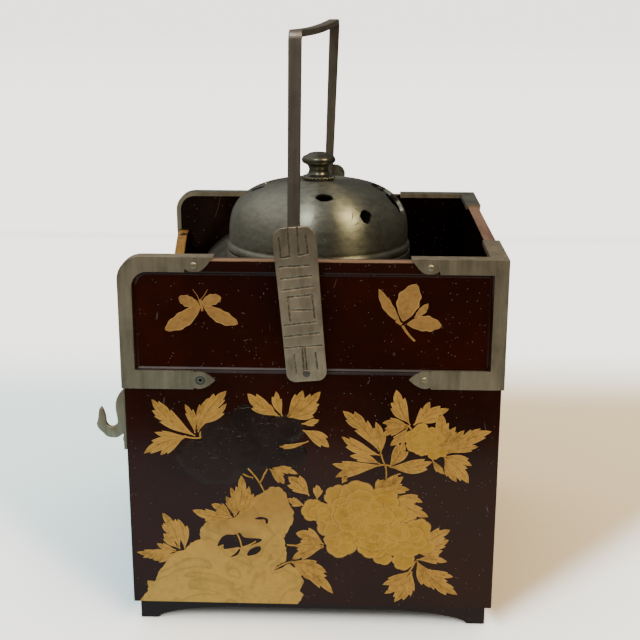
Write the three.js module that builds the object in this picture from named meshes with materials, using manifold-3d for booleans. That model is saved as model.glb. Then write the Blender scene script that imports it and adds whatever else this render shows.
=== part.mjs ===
// Lacquered tobacco box with metal corner mounts, a bail handle, two drawers, a brazier and an ash pot.
// Millimetres, +Z up. The front end, with the drawers and pipe hooks, faces -X.
// The origin is on the floor, under the middle of the box that holds the whole object.
import * as THREE from "three";
import { mergeVertices } from "three/addons/utils/BufferGeometryUtils.js";
import Module from "manifold-3d";

const wasm = await Module();
wasm.setup();

// Wooden case
const boxLength = 182;
const boxWidth = 188;
const sideHeight = 179.7;
const sideThickness = 5.4;
const endThickness = 6.2;
const frontCornerRadius = 10.1;
const cornerSteps = 5;
const bottomThickness = 6.5;
const trayHeight = 115.7;
const trayThickness = 5;
const shelfThickness = 5;
const glueGap = 0.1;

// Sunk panel on the outside of each side board
const panelRim = 5.6;
const panelTopRim = 6;
const panelBottom = 124;
const panelStep = 0.5;
const panelDepth = 1.7;
const panelLip = 2.1;
const panelCornerRadius = 7.5;

// Scooped front board
const scoopShoulder = 156.8;
const scoopLow = 137.9;
const scoopFlatHalf = 47;

// Base rails with bracket feet
const footHeight = 10.5;
const railHeight = 3.8;
const railThickness = 5;
const baseInset = 2.9;
const footWidth = 9.1;
const footChamfer = 1.6;
const footSlope = 36.5;

// Corner mounts
const plate = 1.15;
const frontMountBottom = 115.6;
const rearMountBottom = 117.2;
const mountArm = 45.6;
const mountTopBand = 7.2;
const mountSideBand = 6.8;
const mountLowBand = 9.3;
const mountLip = 1.5;
const mountInnerRadius = 7.5;
const topRivetInset = 36.6;
const lowRivetInset = 38.4;
const rivetHeadRadius = 1.7;
const rivetHeadHeight = 0.75;
const rivetShankRadius = 0.8;
const rivetClearance = 0.1;
const nailDepth = 4;

// Bail handle, straps and pivots
const pivotX = -2.2;
const pivotHeight = 126.4;
const strapLength = 74.7;
const strapWidth = 19.2;
const strapTopWidth = 17.8;
const strapThickness = 1.3;
const strapFoot = 4;
const strapTopRadius = 6;
const strapFootRadius = 4.5;
const nearStrapLean = -4.9;
const farStrapLean = 3.7;
const barWidth = 6;
const barThickness = 3.3;
const nearBarFoot = 5.7;
const farBarFoot = 5;
const barBend = 4.2;
const handleHeight = 284.5;
const handleSag = 1.2;
const nearArmTopX = -7.3;
const farArmTopX = 5.2;
const eyeRadius = 4.4;
const pivotRadius = 1.6;
const pivotClearance = 0.1;
const pivotHeadRadius = 2.3;
const pivotHeadHeight = 0.45;
const washerRadius = 3.6;
const washerThickness = 2.2;
const stackGap = 0.1;

// Pipe hooks at the front corners
const hookPlateThickness = 1.5;
const hookPlateWidth = 5;
const hookPlateBottom = 83.2;
const hookPlateHeight = 30.6;
const hookThickness = 2.6;
const hookReach = 13.3;
const hookHeight = 30.3;
const hookNailHeight = 5;
const tangRadius = 1.2;
const tangLength = 14;
const tangHeight = 21.5;

// Drawers
const drawerFrontThickness = 7;
const drawerWall = 4;
const drawerFloor = 3;
const drawerSideGap = 0.4;
const drawerTopGap = 0.5;
const drawerSeat = 0.3;
const drawerBackGap = 7.8;
const drawerWallDrop = 6;
const drawerFloorLift = 1.2;
const pullLength = 9.5;
const pullRadius = 4.6;
const pullNeck = 2.2;
const pullShank = 1.5;
const rosetteRadius = 7.5;
const rosetteThickness = 0.9;

// Brazier with its pierced lid and knob
const brazierX = -0.5;
const bowlRimRadius = 50;
const bowlMouthInset = 2.6;
const bowlBellyInset = 2.4;
const bowlNeckInset = 3.2;
const bowlFootRadius = 35;
const bowlWall = 2;
const bowlHeight = 45;
const bowlBellyHeight = 22;
const bowlNeckHeight = 34;
const bowlRimHeight = 4.6;
const lidSeat = 0.3;
const lidCollarInset = 0.2;
const lidCollarHeight = 4;
const domeInset = 1.3;
const domeRise = 30.5;
const domeShape = 2.9;
const domeSkirt = 2.3;
const domeWall = 1.6;
const spigotClearance = 0.8;
const spigotWall = 1.3;
const spigotDepth = 4.2;
const punchLength = 40;
const knobHeight = 14.1;
const knobDiscRadius = 9.05;
const knobNeckRadius = 5;
const knobRingRadius = 8;
const beadRadius = 0.85;
const beadCount = 26;
const knobStud = 1.9;

// Ash pot with its lid
const ashFrontGap = 18.4;
const ashSideGap = 6.2;
const ashRadius = 21.4;
const ashHeight = 26.4;
const ashWall = 1.7;
const ashLidRadius = 24.5;
const ashLidFlange = 1.3;
const ashDomeRadius = 28;
const ashLidWall = 1.4;
const ashKnobRadius = 4.2;
const ashKnobHeight = 7;
const seatGap = 0.3;

// Places worked out from the sizes above
const halfLength = boxLength / 2;
const halfWidth = boxWidth / 2;
const bodyBottom = footHeight;
const sideTop = bodyBottom + sideHeight;
const innerHalfWidth = halfWidth - sideThickness;
const rearInner = halfLength - endThickness;
const frontInner = endThickness - halfLength;
const floorTop = bodyBottom + bottomThickness;
const trayUnder = bodyBottom + trayHeight;
const trayTop = trayUnder + trayThickness;
const drawerBay = (trayUnder - floorTop - shelfThickness) / 2;
const shelfBottom = floorTop + drawerBay;
const frontMountLow = bodyBottom + frontMountBottom;
const rearMountLow = bodyBottom + rearMountBottom;
const mountHigh = sideTop + plate;
const mountEnd = halfLength + plate;
const mountFace = halfWidth + plate;
const shoulderTop = bodyBottom + scoopShoulder;
const topRivetHeight = mountHigh - mountTopBand / 2 - 0.3;
const pivotZ = bodyBottom + pivotHeight;
const washerOuter = halfWidth + stackGap + washerThickness;
const barInner = washerOuter + stackGap;
const barOuter = barInner + barThickness;
const strapInner = barOuter + stackGap;
const strapOuter = strapInner + strapThickness;
const handleTop = bodyBottom + handleHeight;
const hookPlateFace = halfLength + hookPlateThickness;
const hookPlateMiddle = halfWidth - 0.2 - hookPlateWidth / 2;
const hookFoot = bodyBottom + hookPlateBottom;
const bowlMouthRadius = bowlRimRadius - bowlMouthInset;
const bowlBellyRadius = bowlRimRadius - bowlBellyInset;
const bowlNeckRadius = bowlRimRadius - bowlNeckInset;
const lidCollarRadius = bowlRimRadius - lidCollarInset;
const domeRadius = lidCollarRadius - domeInset;
const spigotRadius = bowlMouthRadius - spigotClearance;
const bowlBottom = trayTop + seatGap;
const bowlTop = bowlBottom + bowlHeight;
const collarBottom = bowlTop + lidSeat;
const collarTop = collarBottom + lidCollarHeight;
const domeStart = collarTop + domeSkirt;
const domeTop = domeStart + domeRise;
const knobBottom = domeTop + seatGap;
const ashX = frontInner + ashFrontGap + ashRadius;
const ashY = innerHalfWidth - ashSideGap - ashRadius;
const ashBottom = trayTop + seatGap;
const ashTop = ashBottom + ashHeight;

function material(color, roughness, metalness) {
  return new THREE.MeshStandardMaterial({ color, roughness, metalness });
}

const lacquer = () => material(0x2a0f0a, 0.3, 0);
const blackLacquer = () => material(0x120b0a, 0.35, 0);
const goldLacquer = () => material(0xb79552, 0.4, 0.3);
const pewter = () => material(0x6e6657, 0.45, 0.9);
const domeMetal = () => material(0x6e6c62, 0.38, 0.9);
const darkMetal = () => material(0x3d3a31, 0.5, 0.85);
const drawerWood = () => material(0x6b4a30, 0.7, 0);

// Solids: every cut and join goes through merged vertices.
function toSolid(geometry) {
  const bare = geometry.clone();
  bare.deleteAttribute("normal");
  bare.deleteAttribute("uv");
  const merged = mergeVertices(bare, 1e-4);
  const corners = merged.index.array;
  const kept = [];
  for (let i = 0; i < corners.length; i += 3) {
    const [a, b, c] = [corners[i], corners[i + 1], corners[i + 2]];
    if (a !== b && b !== c && c !== a) kept.push(a, b, c);
  }
  return new wasm.Manifold(
    new wasm.Mesh({
      numProp: 3,
      vertProperties: merged.attributes.position.array,
      triVerts: new Uint32Array(kept),
    }),
  );
}

function toGeometry(solid) {
  const mesh = solid.getMesh();
  const geometry = new THREE.BufferGeometry();
  geometry.setAttribute("position", new THREE.BufferAttribute(mesh.vertProperties, 3));
  geometry.setIndex(new THREE.BufferAttribute(mesh.triVerts, 1));
  return geometry;
}

function join(...geometries) {
  const solids = geometries.map(toSolid);
  return toGeometry(solids.reduce((sum, next) => sum.add(next)));
}

function cut(geometry, ...tools) {
  const solids = tools.map(toSolid);
  return toGeometry(solids.reduce((rest, tool) => rest.subtract(tool), toSolid(geometry)));
}

// The same piece on the far side of the box, with its faces still pointing out.
function acrossY(geometry) {
  const flipped = geometry.index ? geometry.toNonIndexed() : geometry.clone();
  flipped.scale(1, -1, 1);
  const spots = flipped.attributes.position.array;
  for (let i = 0; i < spots.length; i += 9) {
    for (let k = 0; k < 3; k += 1) {
      [spots[i + 3 + k], spots[i + 6 + k]] = [spots[i + 6 + k], spots[i + 3 + k]];
    }
  }
  return flipped;
}

function onSide(geometry, side) {
  return side < 0 ? geometry : acrossY(geometry);
}

// Outline (x, z) pushed along Y, outline (y, z) along X, and outline (x, y) along Z.
function alongY(shape, low, high, curveSegments = 6) {
  const geometry = new THREE.ExtrudeGeometry(shape, { depth: high - low, bevelEnabled: false, curveSegments });
  return geometry.rotateX(Math.PI / 2).translate(0, high, 0);
}

function alongX(shape, low, high, curveSegments = 6) {
  const geometry = new THREE.ExtrudeGeometry(shape, { depth: high - low, bevelEnabled: false, curveSegments });
  const turn = new THREE.Matrix4().makeBasis(
    new THREE.Vector3(0, 1, 0),
    new THREE.Vector3(0, 0, 1),
    new THREE.Vector3(1, 0, 0),
  );
  return geometry.applyMatrix4(turn).translate(low, 0, 0);
}

function alongZ(shape, low, high, curveSegments = 6) {
  const geometry = new THREE.ExtrudeGeometry(shape, { depth: high - low, bevelEnabled: false, curveSegments });
  return geometry.translate(0, 0, low);
}

function block(x0, x1, y0, y1, z0, z1) {
  const geometry = new THREE.BoxGeometry(x1 - x0, y1 - y0, z1 - z0);
  return geometry.translate((x0 + x1) / 2, (y0 + y1) / 2, (z0 + z1) / 2);
}

function rod(radius, axis, low, high, centre, sides = 20) {
  const geometry = new THREE.CylinderGeometry(radius, radius, high - low, sides);
  const middle = (low + high) / 2;
  if (axis === "x") return geometry.rotateZ(Math.PI / 2).translate(middle, centre[0], centre[1]);
  if (axis === "y") return geometry.translate(centre[0], middle, centre[1]);
  return geometry.rotateX(Math.PI / 2).translate(centre[0], centre[1], middle);
}

// Turned piece: profile of [radius, height] from the axis round to the axis, standing on +Z.
function turned(profile, sides) {
  const points = profile.map(([radius, height]) => new THREE.Vector2(radius, height));
  return new THREE.LatheGeometry(points, sides).rotateX(Math.PI / 2);
}

function outline(points) {
  return new THREE.Shape(points.map(([a, b]) => new THREE.Vector2(a, b)));
}

// Case boards

function sideOutline() {
  const shape = new THREE.Shape();
  shape.moveTo(halfLength, bodyBottom);
  shape.lineTo(halfLength, sideTop);
  shape.lineTo(frontCornerRadius - halfLength, sideTop);
  shape.absarc(
    frontCornerRadius - halfLength,
    sideTop - frontCornerRadius,
    frontCornerRadius,
    Math.PI / 2,
    Math.PI,
    false,
  );
  shape.lineTo(-halfLength, bodyBottom);
  return shape;
}

function panelOutline(inset) {
  const low = bodyBottom + panelBottom + inset;
  const high = sideTop - panelTopRim - inset;
  const reach = halfLength - panelRim - inset;
  const radius = panelCornerRadius - inset;
  const shape = new THREE.Shape();
  shape.moveTo(reach, low);
  shape.lineTo(reach, high);
  shape.lineTo(radius - reach, high);
  shape.absarc(radius - reach, high - radius, radius, Math.PI / 2, Math.PI, false);
  shape.lineTo(-reach, low);
  return shape;
}

// The lip slopes from the full outline down to the sunk floor.
function panelCutter() {
  const slope = panelDepth - panelStep;
  const geometry = new THREE.ExtrudeGeometry(panelOutline(panelLip), {
    depth: 3,
    bevelEnabled: true,
    bevelThickness: slope,
    bevelSize: panelLip,
    bevelSegments: 1,
    curveSegments: 8,
  });
  return geometry.rotateX(Math.PI / 2).translate(0, panelStep - halfWidth, 0);
}

function rivetPlaces() {
  const topX = mountEnd - topRivetInset;
  const lowX = mountEnd - lowRivetInset;
  const middle = mountLowBand / 2;
  return [
    { name: "front_top", end: -1, x: -topX, z: topRivetHeight, clinched: true },
    { name: "front_low", end: -1, x: -lowX, z: frontMountLow + middle, clinched: false },
    { name: "rear_top", end: 1, x: topX, z: topRivetHeight, clinched: true },
    { name: "rear_low", end: 1, x: lowX, z: rearMountLow + middle, clinched: false },
  ];
}

function sideBoard(side) {
  const board = alongY(sideOutline(), -halfWidth, -innerHalfWidth, cornerSteps);
  const holes = rivetPlaces().map((spot) => {
    const end = spot.clinched ? 1 - innerHalfWidth : nailDepth + 0.3 - halfWidth;
    return rod(rivetShankRadius + rivetClearance, "y", -halfWidth - 1, end, [spot.x, spot.z], 12);
  });
  const pivotHole = rod(pivotRadius + pivotClearance, "y", -halfWidth - 1, 1 - innerHalfWidth, [pivotX, pivotZ], 32);
  const middle = -hookPlateMiddle;
  const tangHole = rod(
    tangRadius + rivetClearance,
    "x",
    -halfLength - 1,
    tangLength - hookPlateFace + 0.5,
    [middle, hookFoot + tangHeight],
    12,
  );
  const nailHole = rod(
    rivetShankRadius + rivetClearance,
    "x",
    -halfLength - 1,
    tangLength - hookPlateFace + 0.5,
    [middle, hookFoot + hookNailHeight],
    12,
  );
  return onSide(cut(board, panelCutter(), ...holes, pivotHole, tangHole, nailHole), side);
}

function rearBoard() {
  const half = innerHalfWidth - glueGap;
  return block(rearInner, halfLength, -half, half, bodyBottom, sideTop);
}

// The top edge falls from each shoulder to a level middle in one reversed curve.
function scoopedBoard() {
  const half = innerHalfWidth - glueGap;
  const low = bodyBottom + scoopLow;
  const steps = 14;
  const points = [
    [half, trayUnder],
    [half, shoulderTop],
  ];
  for (let i = 1; i <= steps; i += 1) {
    const share = i / steps;
    const y = half + (scoopFlatHalf - half) * share;
    points.push([y, low + ((shoulderTop - low) * (1 + Math.cos(Math.PI * share))) / 2]);
  }
  const mirrored = points
    .slice()
    .reverse()
    .map(([y, z]) => [-y, z]);
  return alongX(outline([...points, ...mirrored]), -halfLength, frontInner);
}

function trayFloor() {
  const half = innerHalfWidth - glueGap;
  return block(frontInner + glueGap, rearInner - glueGap, -half, half, trayUnder, trayTop);
}

function levelBoard(bottom, thickness) {
  const half = innerHalfWidth - glueGap;
  return block(-halfLength, rearInner - glueGap, -half, half, bottom, bottom + thickness);
}

// Base rails

// Half of a rail's outline, from its outer end to the middle, as [distance from the end, height].
function footProfile(width) {
  const under = footHeight - railHeight;
  const curve = new THREE.QuadraticBezierCurve(
    new THREE.Vector2(width + footChamfer, footChamfer),
    new THREE.Vector2(width + footSlope * 0.3, under * 0.84),
    new THREE.Vector2(width + footSlope, under),
  );
  return [[0, 0], [width, 0], ...curve.getPoints(6).map((spot) => [spot.x, spot.y])];
}

function railOutline(halfSpan, width) {
  const left = footProfile(width).map(([run, height]) => [run - halfSpan, height]);
  const right = footProfile(width)
    .reverse()
    .map(([run, height]) => [halfSpan - run, height]);
  return outline([...left, ...right, [halfSpan, bodyBottom], [-halfSpan, bodyBottom]]);
}

function longRail(side) {
  const outer = halfWidth - baseInset;
  const rail = alongY(railOutline(halfLength - baseInset, footWidth), -outer, railThickness - outer);
  return onSide(rail, side);
}

function crossRail(end) {
  const halfSpan = halfWidth - baseInset - railThickness - glueGap;
  const outer = halfLength - baseInset;
  const shape = railOutline(halfSpan, footWidth - railThickness);
  return end < 0 ? alongX(shape, -outer, railThickness - outer) : alongX(shape, outer - railThickness, outer);
}

// Corner mounts. An arm's outline is given as [distance from the outer end, height].

// Each end is cusped where the arm stops, then swells into a lobe that runs out to the tip.
const topTipShape = [
  [13.6, 7.2],
  [13.1, 5.6],
  [12, 6.4],
  [10.4, 6.9],
  [8, 7],
  [6.2, 6.7],
  [4.8, 5.9],
  [3.4, 4.6],
  [2.1, 3],
  [1.1, 1.5],
  [0, 0],
];
const lowTipShape = [
  [10.6, 4.65],
  [10.2, 3.8],
  [9, 4.3],
  [7.2, 4.4],
  [5.2, 3.8],
  [3, 2.6],
  [1.2, 1.2],
];

function topTip(high) {
  const share = mountTopBand / topTipShape[0][1];
  return topTipShape.map(([back, drop]) => [mountArm - back, high - drop * share]);
}

function lowTip(low) {
  const middle = low + mountLowBand / 2;
  const share = mountLowBand / 2 / lowTipShape[0][1];
  const upper = lowTipShape.map(([back, rise]) => [mountArm - back, middle + rise * share]);
  const lower = upper
    .slice()
    .reverse()
    .map(([run, height]) => [run, 2 * middle - height]);
  return [...upper, [mountArm, middle], ...lower];
}

function bracketOutline(rounded, low, place) {
  const outerRadius = frontCornerRadius + plate;
  const shape = [[0, low]];
  const arc = (runCentre, heightCentre, radius, from, to, steps) => {
    for (let i = 0; i <= steps; i += 1) {
      const angle = from + ((to - from) * i) / steps;
      shape.push([runCentre - radius * Math.cos(angle), heightCentre + radius * Math.sin(angle)]);
    }
  };
  if (rounded) arc(outerRadius, mountHigh - outerRadius, outerRadius, 0, Math.PI / 2, 8);
  else shape.push([0, mountHigh]);
  shape.push(...topTip(mountHigh).reverse());
  const inner = mountSideBand;
  const under = mountHigh - mountTopBand;
  if (rounded) arc(inner + mountInnerRadius, under - mountInnerRadius, mountInnerRadius, Math.PI / 2, 0, 6);
  else shape.push([inner, under]);
  shape.push([inner, low + mountLowBand]);
  shape.push(...lowTip(low));
  return outline(shape.map(([run, height]) => place(run, height)));
}

function lowArmOutline(low, place) {
  const shape = [[0, low], [0, low + mountLowBand], ...lowTip(low)];
  return outline(shape.map(([run, height]) => place(run, height)));
}

// Strip that covers the side board's edge: along the top, and at the front round the corner and down.
function edgeStrip(end, inset, low) {
  const tip = mountEnd - mountArm;
  const shape = new THREE.Shape();
  if (end > 0) {
    shape.moveTo(tip, mountHigh);
    shape.lineTo(mountEnd, mountHigh);
    shape.lineTo(mountEnd, low);
    shape.lineTo(halfLength - inset, low);
    shape.lineTo(halfLength - inset, sideTop - inset);
    shape.lineTo(tip, sideTop - inset);
    return shape;
  }
  const outer = frontCornerRadius + plate;
  const inner = frontCornerRadius - inset;
  const centreX = frontCornerRadius - halfLength;
  const centreZ = sideTop - frontCornerRadius;
  shape.moveTo(-tip, sideTop - inset);
  shape.lineTo(-tip, mountHigh);
  shape.lineTo(centreX, mountHigh);
  shape.absarc(centreX, centreZ, outer, Math.PI / 2, Math.PI, false);
  shape.lineTo(-mountEnd, low);
  shape.lineTo(inset - halfLength, low);
  shape.lineTo(inset - halfLength, centreZ);
  shape.absarc(centreX, centreZ, inner, Math.PI, Math.PI / 2, true);
  return shape;
}

function rivetHoles(end) {
  return rivetPlaces()
    .filter((spot) => spot.end === end)
    .map((spot) => rod(rivetShankRadius + rivetClearance, "y", -mountFace - 1, 1 - halfWidth, [spot.x, spot.z], 12));
}

function rearMount(side) {
  const lipFace = innerHalfWidth - plate;
  const sideFace = alongY(
    bracketOutline(false, rearMountLow, (run, height) => [mountEnd - run, height]),
    -mountFace,
    -halfWidth,
  );
  const endFace = alongX(
    bracketOutline(false, rearMountLow, (run, height) => [run - mountFace, height]),
    halfLength,
    mountEnd,
  );
  const tip = mountEnd - mountArm;
  const alongSide = block(tip, mountEnd, -mountFace, -lipFace, sideTop, mountHigh);
  const alongEnd = block(rearInner - plate, mountEnd, -mountFace, mountArm - mountFace, sideTop, mountHigh);
  const sideLip = block(tip, rearInner, -innerHalfWidth, -lipFace, sideTop - mountLip, mountHigh);
  const endLip = block(rearInner - plate, rearInner, -innerHalfWidth, mountArm - mountFace, sideTop - mountLip, mountHigh);
  const whole = join(sideFace, endFace, alongSide, alongEnd, sideLip, endLip);
  return onSide(cut(whole, ...rivetHoles(1)), side);
}

function frontMount(side) {
  const sideFace = alongY(
    bracketOutline(true, frontMountLow, (run, height) => [run - mountEnd, height]),
    -mountFace,
    -halfWidth,
  );
  const edge = alongY(edgeStrip(-1, 0, frontMountLow), -mountFace, -innerHalfWidth, cornerSteps);
  const lipLow = shoulderTop + seatGap;
  const lip = alongY(edgeStrip(-1, mountLip, lipLow), -innerHalfWidth, plate - innerHalfWidth, cornerSteps);
  const frontArm = alongX(
    lowArmOutline(frontMountLow, (run, height) => [run - mountFace, height]),
    -mountEnd,
    -halfLength,
  );
  const band = block(-mountEnd, -halfLength, -mountFace, mountSideBand - mountFace, frontMountLow, shoulderTop - 3);
  const whole = join(sideFace, edge, lip, frontArm, band);
  return onSide(cut(whole, ...rivetHoles(-1)), side);
}

// Upper rivets go through and are clinched inside. Lower ones are nails that end in the board.
function mountRivet(spot, side) {
  const inside = innerHalfWidth;
  const head = mountFace;
  const clinch = [
    [0, inside - 0.6],
    [0.8, inside - 0.5],
    [1.1, inside - 0.1],
    [rivetShankRadius, inside - 0.1],
  ];
  const point = [
    [0, halfWidth - nailDepth],
    [rivetShankRadius, halfWidth - nailDepth + 1],
  ];
  const profile = [
    ...(spot.clinched ? clinch : point),
    [rivetShankRadius, head + 0.05],
    [rivetHeadRadius, head + 0.05],
    [rivetHeadRadius * 0.75, head + rivetHeadHeight * 0.8],
    [0, head + rivetHeadHeight],
  ];
  const rivet = turned(profile, 12).rotateX(Math.PI / 2).translate(spot.x, 0, spot.z);
  return onSide(rivet, side);
}

// Handle

// Outline of a bar along a path of [x, z, width] points.
function ribbon(points) {
  const sides = [[], []];
  points.forEach(([x, z, width], i) => {
    const half = width / 2;
    const before = points[Math.max(i - 1, 0)];
    const after = points[Math.min(i + 1, points.length - 1)];
    const length = Math.hypot(after[0] - before[0], after[1] - before[1]);
    const across = [((after[1] - before[1]) / length) * half, (-(after[0] - before[0]) / length) * half];
    sides[0].push([x + across[0], z + across[1]]);
    sides[1].unshift([x - across[0], z - across[1]]);
  });
  return outline([...sides[0], ...sides[1]]);
}

function leg(armTopX, lean, footWidth, low, high) {
  const reach = strapLength - strapFoot;
  const angle = THREE.MathUtils.degToRad(lean);
  const bendX = pivotX + Math.sin(angle) * reach;
  const bendZ = pivotZ + Math.cos(angle) * reach;
  const path = [
    [pivotX, pivotZ, footWidth],
    [bendX, bendZ, footWidth],
    [armTopX, handleTop - barBend, barWidth],
  ];
  const bar = alongY(ribbon(path), low, high);
  const eye = rod(eyeRadius, "y", low, high, [pivotX, pivotZ], 24);
  const hole = rod(pivotRadius + pivotClearance, "y", low - 1, high + 1, [pivotX, pivotZ], 32);
  return cut(join(bar, eye), hole);
}

// Half of the crossbar's upper or lower line, as [y, z], from its end round the bend to the middle.
function barLine(inset) {
  const radius = barBend - inset;
  const end = barOuter - barBend;
  const points = [];
  for (let i = 0; i <= 4; i += 1) {
    const angle = (Math.PI * i) / 8;
    points.push([-end - radius * Math.cos(angle), handleTop - barBend + radius * Math.sin(angle)]);
  }
  for (let i = 1; i <= 6; i += 1) {
    const share = i / 6;
    points.push([end * (share - 1), handleTop - inset - handleSag * Math.sin((Math.PI * share) / 2)]);
  }
  return points;
}

function wholeLine(inset) {
  const half = barLine(inset);
  const other = half
    .slice(0, -1)
    .reverse()
    .map(([y, z]) => [-y, z]);
  return [...half, ...other];
}

// The crossbar sags a little, and runs askew because the two arms lean apart.
function crossbar() {
  const shape = outline([...wholeLine(0), ...wholeLine(barThickness).reverse()]);
  const bar = alongX(shape, -barWidth / 2, barWidth / 2);
  const slope = (farArmTopX - nearArmTopX) / (2 * barOuter);
  const shear = new THREE.Matrix4();
  shear.set(1, slope, 0, (farArmTopX + nearArmTopX) / 2, 0, 1, 0, 0, 0, 0, 1, 0, 0, 0, 0, 1);
  return bar.applyMatrix4(shear);
}

function bail() {
  const nearLeg = leg(nearArmTopX, nearStrapLean, nearBarFoot, -barOuter, -barInner);
  const farLeg = leg(farArmTopX, farStrapLean, farBarFoot, barInner, barOuter);
  return join(crossbar(), nearLeg, farLeg);
}

// Strap in its own frame: the pivot is the origin and it stands straight up.
function strapShape() {
  const half = strapWidth / 2;
  const topHalf = strapTopWidth / 2;
  const top = strapLength - strapFoot;
  const shape = new THREE.Shape();
  shape.moveTo(-half + strapFootRadius, -strapFoot);
  shape.quadraticCurveTo(0, -strapFoot - 0.8, half - strapFootRadius, -strapFoot);
  shape.quadraticCurveTo(half, -strapFoot, half, strapFootRadius - strapFoot);
  shape.lineTo(topHalf, top - strapTopRadius);
  shape.quadraticCurveTo(topHalf, top, topHalf - strapTopRadius, top);
  shape.lineTo(strapTopRadius - topHalf, top);
  shape.quadraticCurveTo(-topHalf, top, -topHalf, top - strapTopRadius);
  shape.lineTo(-half, strapFootRadius - strapFoot);
  shape.quadraticCurveTo(-half, -strapFoot, -half + strapFootRadius, -strapFoot);
  return shape;
}

function strap() {
  const body = alongY(strapShape(), -strapThickness / 2, strapThickness / 2);
  const hole = rod(pivotRadius + pivotClearance, "y", -strapThickness, strapThickness, [0, 0], 32);
  return cut(body, hole);
}

function pivotPin(side) {
  const inside = innerHalfWidth;
  const profile = [
    [0, inside - 0.9],
    [1.6, inside - 0.8],
    [2.3, inside - 0.1],
    [pivotRadius, inside - 0.1],
    [pivotRadius, strapOuter + stackGap],
    [pivotHeadRadius, strapOuter + stackGap],
    [pivotHeadRadius * 0.7, strapOuter + stackGap + pivotHeadHeight * 0.8],
    [0, strapOuter + stackGap + pivotHeadHeight],
  ];
  const pin = turned(profile, 24).rotateX(Math.PI / 2).translate(pivotX, 0, pivotZ);
  return onSide(pin, side);
}

function pivotWasher(side) {
  const low = -washerOuter;
  const high = -halfWidth - stackGap;
  const ring = rod(washerRadius, "y", low, high, [pivotX, pivotZ], 24);
  const hole = rod(pivotRadius + pivotClearance, "y", low - 1, high + 1, [pivotX, pivotZ], 32);
  return onSide(cut(ring, hole), side);
}

// Pipe hooks

// Wave-shaped hook seen from the side, as distances out from the plate and heights above its foot:
// a start, then two handles and an end for each curve. It is scaled to the hook's reach and height.
const hookStart = [0, 30.3];
const hookCurves = [
  [2, 28.6, 3.6, 25.4, 3.6, 22],
  [3.6, 18, 2.6, 16, 3, 13.6],
  [4.2, 10.4, 7.8, 10.4, 8.6, 13.6],
  [8.8, 16.4, 9, 19.6, 10.9, 21.6],
  [12.6, 20.4, 11.6, 16.8, 13.3, 13],
  [13, 9.6, 10.4, 8.9, 9.4, 7.2],
  [8, 5.4, 5.4, 5.9, 3.8, 5.7],
  [2.4, 6, 1.4, 7.4, 0, 7.9],
];

function hookOutline() {
  const out = hookReach / Math.max(...hookCurves.map((curve) => curve[4]));
  const up = hookHeight / hookStart[1];
  const shape = new THREE.Shape();
  shape.moveTo(hookStart[0] * out, hookStart[1] * up);
  for (const curve of hookCurves) {
    shape.bezierCurveTo(...curve.map((value, i) => value * (i % 2 ? up : out)));
  }
  return shape;
}

function pipeHook(side) {
  const half = hookThickness / 2;
  const body = alongY(hookOutline(), -half, half, 5);
  body.scale(-1, -1, 1).translate(-hookPlateFace, -hookPlateMiddle, hookFoot);
  const tang = rod(
    tangRadius,
    "x",
    -hookPlateFace - 1,
    tangLength - hookPlateFace,
    [-hookPlateMiddle, hookFoot + tangHeight],
    12,
  );
  return onSide(join(body, tang), side);
}

function hookPlate(side) {
  const half = hookPlateWidth / 2;
  const body = block(
    -hookPlateFace,
    -halfLength,
    -hookPlateMiddle - half,
    half - hookPlateMiddle,
    hookFoot,
    hookFoot + hookPlateHeight,
  );
  const tangHole = rod(
    tangRadius + rivetClearance,
    "x",
    -hookPlateFace - 1,
    1 - halfLength,
    [-hookPlateMiddle, hookFoot + tangHeight],
    12,
  );
  const nailHole = rod(
    rivetShankRadius + rivetClearance,
    "x",
    -hookPlateFace - 1,
    1 - halfLength,
    [-hookPlateMiddle, hookFoot + hookNailHeight],
    12,
  );
  return onSide(cut(body, tangHole, nailHole), side);
}

function hookNail(side) {
  const profile = [
    [0, -tangLength],
    [rivetShankRadius, 1 - tangLength],
    [rivetShankRadius, 0.05],
    [rivetHeadRadius, 0.05],
    [rivetHeadRadius * 0.75, rivetHeadHeight * 0.8],
    [0, rivetHeadHeight],
  ];
  const nail = turned(profile, 12).rotateY(-Math.PI / 2);
  return onSide(nail.translate(-hookPlateFace, -hookPlateMiddle, hookFoot + hookNailHeight), side);
}

// Drawers

function drawerPieces(level) {
  const bay = level === "upper" ? shelfBottom + shelfThickness : floorTop;
  const bottom = bay + drawerSeat;
  const top = bay + drawerBay - drawerTopGap;
  const half = innerHalfWidth - drawerSideGap;
  const frontBack = drawerFrontThickness - halfLength;
  const boxFront = frontBack + glueGap;
  const boxBack = rearInner - drawerBackGap;
  const middle = (bottom + top) / 2;
  const wallTop = top - drawerWallDrop;
  const between = half - drawerWall - glueGap;
  const floorLow = bottom + drawerFloorLift;
  const pullHole = rod(pullShank + rivetClearance, "x", -halfLength - 1, frontBack + 1, [0, middle], 16);
  return {
    front: cut(block(-halfLength, frontBack, -half, half, bottom, top), pullHole),
    side_near: block(boxFront, boxBack, -half, drawerWall - half, bottom, wallTop),
    side_far: block(boxFront, boxBack, half - drawerWall, half, bottom, wallTop),
    back: block(boxBack - drawerWall, boxBack, -between, between, bottom, wallTop),
    bottom: block(boxFront, boxBack - drawerWall - glueGap, -between, between, floorLow, floorLow + drawerFloor),
    rosette: rosette(middle),
    pull: drawerPull(middle),
  };
}

function rosette(height) {
  const ring = rod(rosetteRadius, "x", -halfLength - rosetteThickness, -halfLength, [0, height], 24);
  const hole = rod(pullShank + rivetClearance, "x", -halfLength - 2, 1 - halfLength, [0, height], 16);
  return cut(ring, hole);
}

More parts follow.
